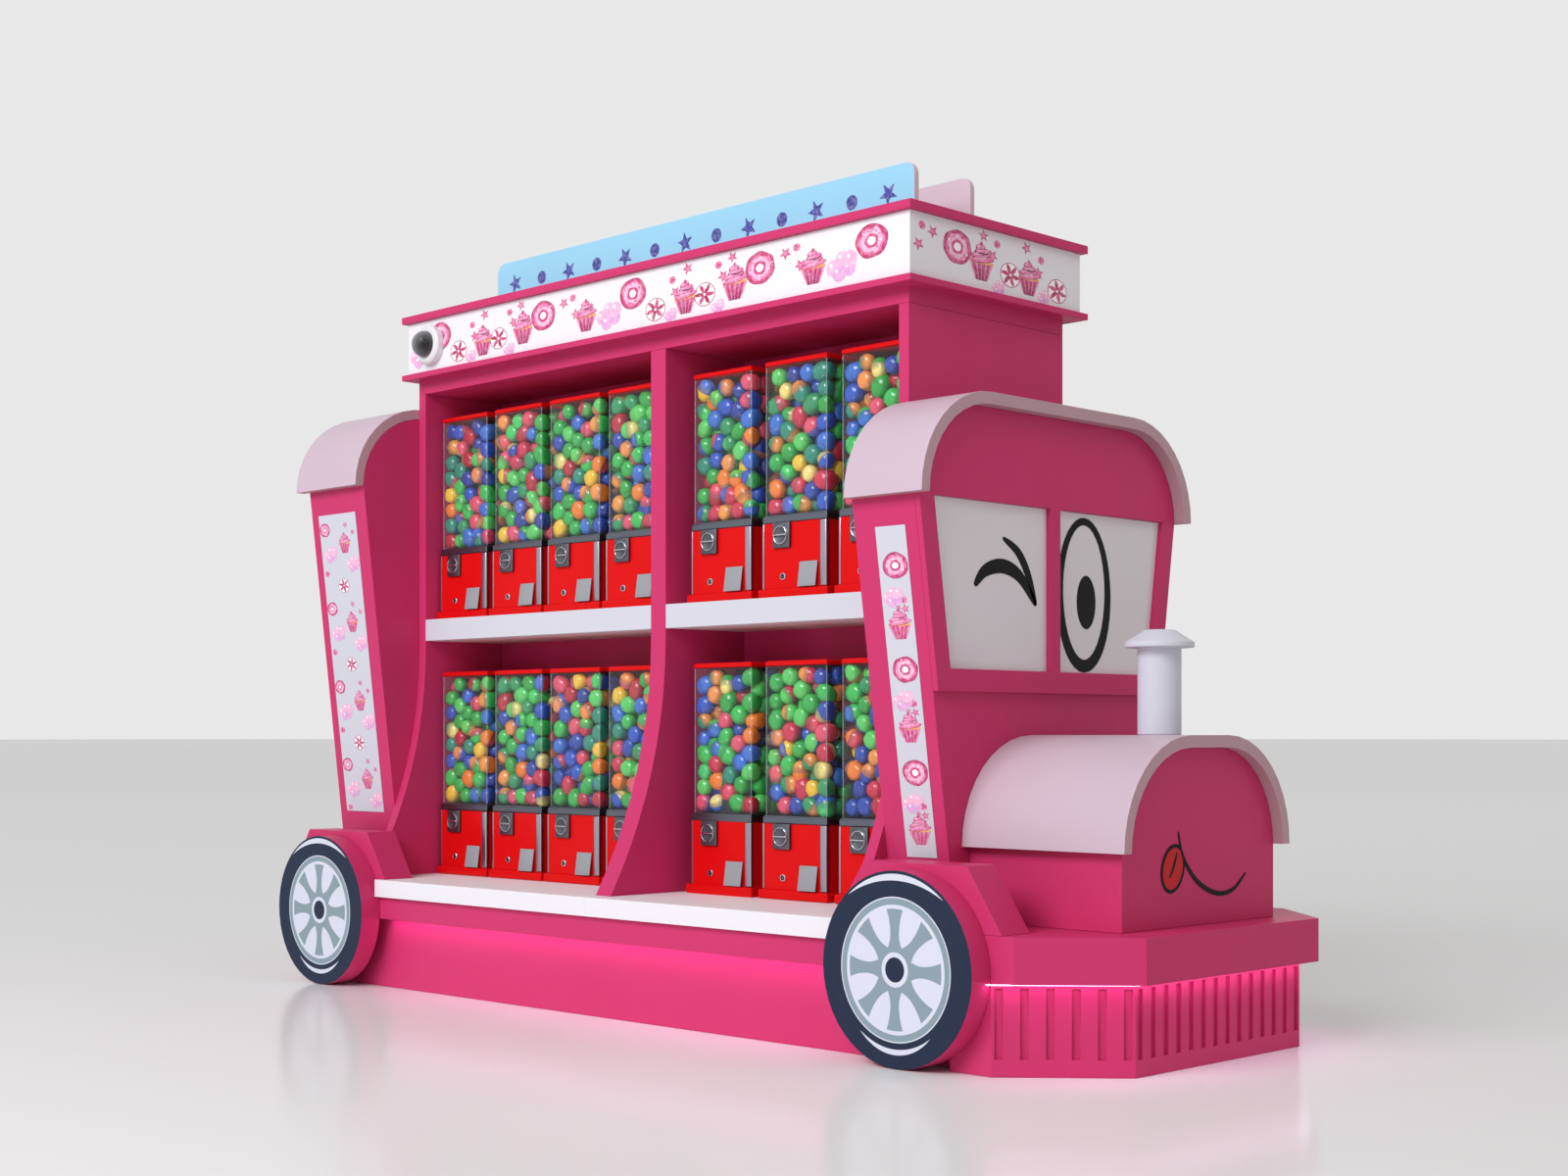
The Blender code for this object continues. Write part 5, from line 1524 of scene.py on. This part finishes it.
Maker = Callable[[Solid, Matrix], None]


@dataclass
class CapsuleMachine:
    """One capsule machine in its own frame: X along its front, which faces -Y, and Z up from its feet."""

    origin: Vector
    foot: float = 0.1425
    foot_height: float = 0.028
    cabinet: float = 0.130
    cabinet_top: float = 0.223
    collar: float = 0.1315
    collar_top: float = 0.246
    canister: float = 0.124
    canister_top: float = 0.6885
    wall: float = 0.003
    lid: float = 0.127
    lid_top: float = 0.7055
    plate_x: Spot = (-0.082, -0.013)
    plate_z: Spot = (0.148, 0.223)
    plate_depth: float = 0.010
    knob: Spot = (-0.0475, 0.1855)
    knob_radius: float = 0.0262
    door_x: Spot = (0.025, 0.097)
    door_z: Spot = (0.0295, 0.1035)
    lock: Spot = (-0.046, 0.064)
    trim: float = 0.024
    joint: float = 0.0004

    def block(
        self, solid: Solid, place: Matrix, half: float, span: Spot, bevel: float, segments: int = 2
    ) -> None:
        """Adds a square block about the machine's axis.

        Args:
            solid: The piece it belongs to.
            place: Where the machine stands.
            half: Half of its width.
            span: Its lower and upper height.
            bevel: Radius of its edges.
            segments: Faces across an edge.
        """
        solid.box((-half, -half, span[0]), (half, half, span[1]), bevel, segments, place=place)

    def enclosure(self, solid: Solid, place: Matrix) -> None:
        """Adds the enamelled foot and cabinet."""
        self.block(solid, place, self.foot, (0, self.foot_height), 0.006, 3)
        self.block(solid, place, self.cabinet, (self.foot_height - 0.001, self.cabinet_top), 0.003)

    def trims(self, solid: Solid, place: Matrix) -> None:
        """Adds the bright corner mouldings: broad on the right, slim on the left."""
        c, low, high = self.cabinet, self.foot_height + 0.0008, self.cabinet_top - 0.0006
        solid.box((c - self.trim, -c - 0.0045, low), (c + 0.0022, -c + 0.0100, high), 0.0042, 4, place=place)
        solid.box((-c - 0.0015, -c - 0.0020, low), (-c + 0.0050, -c + 0.0060, high), 0.0012, 2, place=place)

    def collar_frame(self, solid: Solid, place: Matrix) -> None:
        """Adds the metal collar, with its rolled upper lip."""
        body = (self.cabinet_top + self.joint, self.collar_top - 0.004)
        self.block(solid, place, self.collar, body, 0.0028, 3)
        self.block(solid, place, self.collar - 0.003, (self.collar_top - 0.006, self.collar_top), 0.0018)

    def canister_walls(self, solid: Solid, place: Matrix) -> None:
        """Adds the clear canister: four thin walls with open ends."""
        part = bmesh.new()
        r = self.canister
        height = self.canister_top - self.collar_top - 0.0008
        bmesh.ops.create_circle(part, cap_ends=True, segments=4, radius=r * math.sqrt(2))
        bmesh.ops.rotate(part, cent=(0, 0, 0), matrix=Matrix.Rotation(math.pi / 4, 3, "Z"), verts=part.verts)
        inner = bmesh.ops.inset_region(
            part, faces=part.faces[:], thickness=self.wall, use_even_offset=True, use_boundary=True
        )
        hole = [face for face in part.faces if face not in inner["faces"]]
        bmesh.ops.delete(part, geom=hole, context="FACES_ONLY")
        raised(part, height)
        bmesh.ops.translate(part, verts=part.verts, vec=(0, 0, self.collar_top + self.joint))
        solid.join(part, place)

    def corner_glint_posts(self, solid: Solid, place: Matrix) -> None:
        """Adds slim hazed posts at the canister's corners: a painted glint where the clear corners catch the
        light.
        """
        r, low, high = self.canister, self.collar_top + 0.0006, self.canister_top - 0.0008
        outside, inside = 1 + 0.0004 / r, 1 - 0.0024 / r
        for x in (-r, r):
            for y in (-r, r):
                (x0, x1), (y0, y1) = (sorted((c * outside, c * inside)) for c in (x, y))
                solid.box((x0, y0, low), (x1, y1, high), 0.0009, 2, place=place)

    def lid_tray(self, solid: Solid, place: Matrix) -> None:
        """Adds the enamelled lid with its rolled rim and its small lifting nub."""
        rim = (self.canister_top + self.joint, self.lid_top - 0.0045)
        self.block(solid, place, self.lid, rim, 0.0030, 3)
        self.block(solid, place, self.lid - 0.004, (self.canister_top + 0.008, self.lid_top - 0.002), 0.0015)
        nub = [(0, 0.0), (0.0075, 0.0), (0.0065, 0.004), (0.003, 0.0052), (0, 0.0055)]
        solid.turned(nub, place @ Matrix.Translation((0, 0, self.lid_top - 0.0025)), 14)

    def coin_plate(self, solid: Solid, place: Matrix) -> None:
        """Adds the cast coin plate with its dished seat and coin slot."""
        (x0, x1), (z0, z1) = self.plate_x, self.plate_z
        y = -self.cabinet
        face = y - self.plate_depth
        solid.box((x0, face, z0), (x1, y - 0.0003, z1), 0.0022, 3, place=place)
        dish = [(0, -0.001), (0.0295, -0.001), (0.0295, 0.0012), (0.0278, 0.0020), (0.0255, 0.0006), (0, 0.0006)]
        solid.turned(dish, place @ self.fronted(self.knob[0], self.plate_depth, self.knob[1]), 28)
        slot_x, slot_z = self.knob[0], z1 - 0.0085
        low = (slot_x - 0.0145, face - 0.0012, slot_z - 0.0028)
        solid.box(low, (slot_x + 0.0145, face + 0.001, slot_z + 0.0028), 0.0008, 2, place=place)

    def fronted(self, x: float, out: float, z: float) -> Matrix:
        """A place on the cabinet's front whose Z points at the buyer."""
        return Matrix.Translation((x, -self.cabinet - out, z)) @ Matrix.Rotation(math.pi / 2, 4, "X")

    def coin_knob(self, solid: Solid, place: Matrix) -> None:
        """Adds the chromed turning ring and its horizontal bar."""
        seat = place @ self.fronted(self.knob[0], self.plate_depth + 0.0035, self.knob[1])
        solid.ring(self.knob_radius, 0.0015, seat, 32)
        solid.box((-0.0256, -0.0023, -0.0012), (0.0256, 0.0023, 0.0062), 0.0019, 3, place=seat)

    def key_lock(self, solid: Solid, place: Matrix) -> None:
        """Adds the round lock with its stepped face and key slot."""
        seat = place @ self.fronted(self.lock[0], 0.0, self.lock[1])
        bezel = [
            (0, 0.0003), (0.0110, 0.0003), (0.0110, 0.0032), (0.0096, 0.0046), (0.0080, 0.0046),
            (0.0072, 0.0030), (0, 0.0030),
        ]
        solid.turned(bezel, seat, 24)
        solid.turned([(0, 0.0028), (0.0066, 0.0028), (0.0062, 0.0042), (0, 0.0042)], seat, 20, finish=1)
        solid.box((-0.0038, -0.0008, 0.0040), (0.0038, 0.0008, 0.0047), 0.0003, 1, place=seat)

    def flap(self, solid: Solid, place: Matrix, tilt: float = math.radians(8)) -> None:
        """Adds the delivery flap, hung a little open, with its rolled lower lip."""
        (x0, x1), (z0, z1) = self.door_x, self.door_z
        hinge = Matrix.Translation((0, -self.cabinet - 0.0033, z1)) @ Matrix.Rotation(-tilt, 4, "X")
        place, drop = place @ hinge, z1 - z0
        solid.box((x0, -0.0016, -drop), (x1, 0.0006, 0.0), 0.0007, 2, place=place)
        solid.box((x0 + 0.002, -0.0032, -drop), (x1 - 0.002, 0.0006, -drop + 0.0035), 0.0009, 2, place=place)

    def stand(self, floor: float, x: float, side: int) -> Matrix:
        """Where a machine stands.

        Args:
            floor: Height of the board under it.
            x: Its middle along the kiosk.
            side: 1 for the left side, -1 for the right.

        Returns:
            The place.
        """
        y = side * abs(self.origin.y)
        turn = Matrix.Rotation(math.pi if side > 0 else 0.0, 4, "Z")
        return Matrix.Translation((x, y, floor)) @ turn


@dataclass
class MachineRows:
    """The machines that stand in rows of three and four."""

    machine: CapsuleMachine
    stock: CapsuleStock
    gap: float = 0.010

    def build(self) -> None:
        """Makes each row's pieces, one for each finish."""
        self.stock.build()
        number = 1
        for level in ("lower", "upper"):
            for bay in ("front", "rear"):
                for side in SIDES:
                    number += self.row(f"{level}_{bay}_{side}", SIDES[side], number)

    def places(self, node: str, side: int) -> list[Matrix]:
        """Where a row's machines stand, from the row's CAD node."""
        low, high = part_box(node)
        size = 2 * self.machine.foot
        count = round((high.x - low.x - size) / (size + self.gap)) + 1
        step = (high.x - low.x - size) / max(1, count - 1)
        middles = [low.x + self.machine.foot + step * i for i in range(count)]
        return [self.machine.stand(low.z, x, side) for x in middles]

    def row(self, name: str, side: int, number: int) -> int:
        """Makes one row.

        Args:
            name: The row's level, bay and side.
            side: 1 for the left side, -1 for the right.
            number: The first machine's number.

        Returns:
            How many machines it has.
        """
        node = f"vendor_row_{name}"
        places = self.places(node, side)
        m = self.machine
        layout: dict[str, tuple[Sequence[Maker], list[Finish], str, list[str]]] = {
            "cabinets": ((m.enclosure, m.lid_tray), [Finish.RED], "red_sheet", [node]),
            "collars": ((m.collar_frame,), [Finish.COLLAR], "grey_steel", []),
            "coin_plates": ((m.coin_plate,), [Finish.PLATE], "cast_metal", []),
            "trims": ((m.trims,), [Finish.TRIM], "grey_steel", []),
            "flaps": ((m.flap,), [Finish.FLAP], "grey_steel", []),
            "knobs": ((m.coin_knob, m.key_lock), [Finish.CHROME, Finish.BLACK], "cast_metal", []),
            "canisters": ((m.canister_walls,), [Finish.GLASS], "clear_canister", []),
            # Corner posts in the whitish hazed sheet: painted glints at the canisters' corners.
            "posts": ((m.corner_glint_posts,), [Finish.CORNER_GLINT], "clear_canister", []),
        }
        for part, (makers, finishes, slot, nodes) in layout.items():
            solid = Solid()
            for place in places:
                for make in makers:
                    make(solid, place)
            flat = part in ("cabinets", "collars")
            solid.piece(f"{name}_{part}", finishes, slot, stands_for=nodes, weighted=flat)
        self.stock.fill(f"{name}_capsules", places, number)
        return len(places)


@dataclass
class WorkingMachine:
    """The machine whose lid, knob, flap, lock and dispensing wheel move."""

    machine: CapsuleMachine
    stock: CapsuleStock

    def build(self) -> None:
        """Makes the pieces that show, and dresses the ones inside."""
        m = self.machine
        place = Matrix.Translation(m.origin)
        cabinet, collar = node_solid("vendor_cabinet", 0.0022), node_solid("vendor_collar", 0.0024, 3)
        cabinet.piece("working_cabinet", [Finish.RED], "red_sheet", stands_for=["vendor_cabinet"])
        collar.piece("working_collar", [Finish.COLLAR], "grey_steel", stands_for=["vendor_collar"])
        parts: dict[str, tuple[Maker, list[Finish], str, str, list[str]]] = {
            "working_canister": (
                m.canister_walls, [Finish.GLASS], "clear_canister", "kiosk", ["vendor_canister"],
            ),
            # Corner posts in the whitish hazed sheet: painted glints at the canister's corners.
            "working_glint_posts": (m.corner_glint_posts, [Finish.CORNER_GLINT], "clear_canister", "kiosk", []),
            "working_trims": (m.trims, [Finish.TRIM], "grey_steel", "kiosk", []),
            "working_lid": (m.lid_tray, [Finish.RED], "red_sheet", "lid", ["vendor_lid"]),
            "working_flap": (m.flap, [Finish.FLAP], "grey_steel", "flap", ["vendor_door"]),
            "working_coin_plate": (m.coin_plate, [Finish.PLATE], "cast_metal", "kiosk", ["vendor_coin_plate"]),
            "working_knob": (m.coin_knob, [Finish.CHROME], "cast_metal", "knob", ["vendor_knob"]),
            "working_lock": (m.key_lock, [Finish.CHROME, Finish.BLACK], "cast_metal", "lock", ["vendor_lock"]),
        }
        for name, (make, finishes, slot, body, nodes) in parts.items():
            solid = Solid()
            make(solid, place)
            solid.piece(name, finishes, slot, body, nodes)
        # The dispensing wheel takes near-black plastic as painted shadow at the canister's foot.
        dress({
            "vendor_dispensing_wheel": Finish.SHADOW_PLASTIC,
            "vendor_chute": Finish.WHITE_PLASTIC,
            "vendor_coin_box": Finish.COLLAR,
        })
        self.stock.build()
        self.stock.fill("working_capsules", [place], 0)


# ---------------------------------------------------------------- studio


@dataclass(frozen=True)
class SoftBox:
    """A rectangular lamp."""

    name: str
    spot: Point
    target: Point
    size: Spot
    power: float
    colour: Colour

    def hang(self) -> None:
        """Hangs the lamp and turns it to its target."""
        data = bpy.data.lights.new(self.name, "AREA")
        data.shape, data.size, data.size_y = "RECTANGLE", *self.size
        data.energy, data.color = self.power, self.colour
        lamp = linked(self.name, data)
        lamp.location = self.spot
        lamp.rotation_euler = (Vector(self.target) - Vector(self.spot)).to_track_quat("-Z", "Y").to_euler()


@dataclass
class Studio:
    """A pale glossy floor, a pale surround, soft lamps and the camera."""

    floor_half: float = 380.0
    floor_level: float = -0.0005
    floor_dull: Colour = (0.825, 0.825, 0.82)
    floor_shine: Colour = (0.95, 0.95, 0.95)
    floor_roughness: float = 0.16
    shine_angles: Spot = (0.82, 0.98)
    shine_least: float = 0.15
    shine_gain: float = 0.55
    wall: Colour = (0.81, 0.81, 0.81)
    fill: float = 0.415
    fill_colour: Colour = (1.0, 0.975, 0.965)
    lamps: tuple[SoftBox, ...] = (
        SoftBox("key_light", (1.0, -10.2, 7.3), (0.0, 0.0, 0.9), (8.0, 5.0), 1070.0, (0.96, 0.96, 1.0)),
        SoftBox("front_light", (4.2, 1.2, 5.6), (1.2, 0.0, 2.0), (2.5, 2.0), 28.0, (1.0, 0.88, 0.80)),
    )
    eye: Point = (4.783, -4.719, 0.85)
    heading: float = math.radians(44.7)
    lens: float = 48.65
    sensor: float = 36.0
    shift: float = 0.09375
    far: float = 2000.0

    def build(self) -> None:
        """Sets the stage."""
        self.surround()
        self.floor()
        for lamp in self.lamps:
            lamp.hang()
        self.camera()
        bpy.context.scene.view_settings.view_transform = "Standard"

    def surround(self) -> None:
        """A plain light from all round, seen as a pale wall."""
        world = bpy.data.worlds.new("surround")
        bpy.context.scene.world = world
        shader = Shader("surround", world)
        rays = shader.node("LightPath").outputs
        mirrored = shader.maths("MAXIMUM", rays["Is Glossy Ray"], rays["Is Transmission Ray"])
        seen = shader.maths("MAXIMUM", rays["Is Camera Ray"], mirrored)
        light = shader.node("Background", inputs={"Color": self.fill_colour, "Strength": self.fill})
        wall = shader.node("Background", inputs={"Color": self.wall})
        mixed = shader.node("MixShader", inputs={0: seen, 1: light.outputs[0], 2: wall.outputs[0]})
        shader.node("OutputWorld", inputs={"Surface": mixed.outputs[0]})

    def floor(self) -> None:
        """A wide pale floor with a soft shine."""
        mesh = bpy.data.meshes.new("floor")
        part = bmesh.new()
        level = Matrix.Translation((0, 0, self.floor_level))
        bmesh.ops.create_grid(part, x_segments=2, y_segments=2, size=self.floor_half, matrix=level)
        part.to_mesh(mesh)
        part.free()
        floor = linked("floor", mesh)
        shader = Shader("pale_floor")
        dull = shader.node("BsdfDiffuse", inputs={"Color": self.floor_dull})
        gloss = {"Color": self.floor_shine, "Roughness": self.floor_roughness}
        shine = shader.node("BsdfGlossy", inputs=gloss)
        facing = Number(shader, shader.node("LayerWeight", inputs={"Blend": 0.5}).outputs[1])
        share = facing.ramp(*self.shine_angles) * self.shine_gain + self.shine_least
        mixed = shader.node("MixShader", inputs={0: share, 1: dull.outputs[0], 2: shine.outputs[0]})
        mesh.materials.append(shader.done(mixed.outputs[0]))

    def camera(self) -> None:
        """Places a level camera at three-quarter view, shifted up a little."""
        data = bpy.data.cameras.new("view")
        data.lens, data.sensor_width, data.shift_y = self.lens, self.sensor, self.shift
        data.clip_end = self.far
        camera = linked("view", data)
        camera.location = self.eye
        camera.rotation_euler = (math.pi / 2, 0, self.heading)
        bpy.context.scene.camera = camera


def main() -> None:
    """Builds the studio and the kiosk, piece by piece."""
    logging.basicConfig(level=logging.INFO, format="%(message)s")
    Studio().build()
    BoardWork().build()
    WheelSet().build()
    LightStrips().build()
    PrintedPanels().build()
    Signs().build()
    Face().build()
    DomeCamera().build()
    low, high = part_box("vendor_canister")
    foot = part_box("vendor_cabinet")[0]
    machine = CapsuleMachine(Vector(((low.x + high.x) / 2, (low.y + high.y) / 2, foot.z)))
    room = (machine.canister - machine.wall - 0.0008, machine.collar_top + 0.001, machine.canister_top - 0.002)
    MachineRows(machine, CapsuleStock(*room)).build()
    WorkingMachine(machine, CapsuleStock(*room, arrangements=1)).build()


if __name__ == "__main__":
    main()
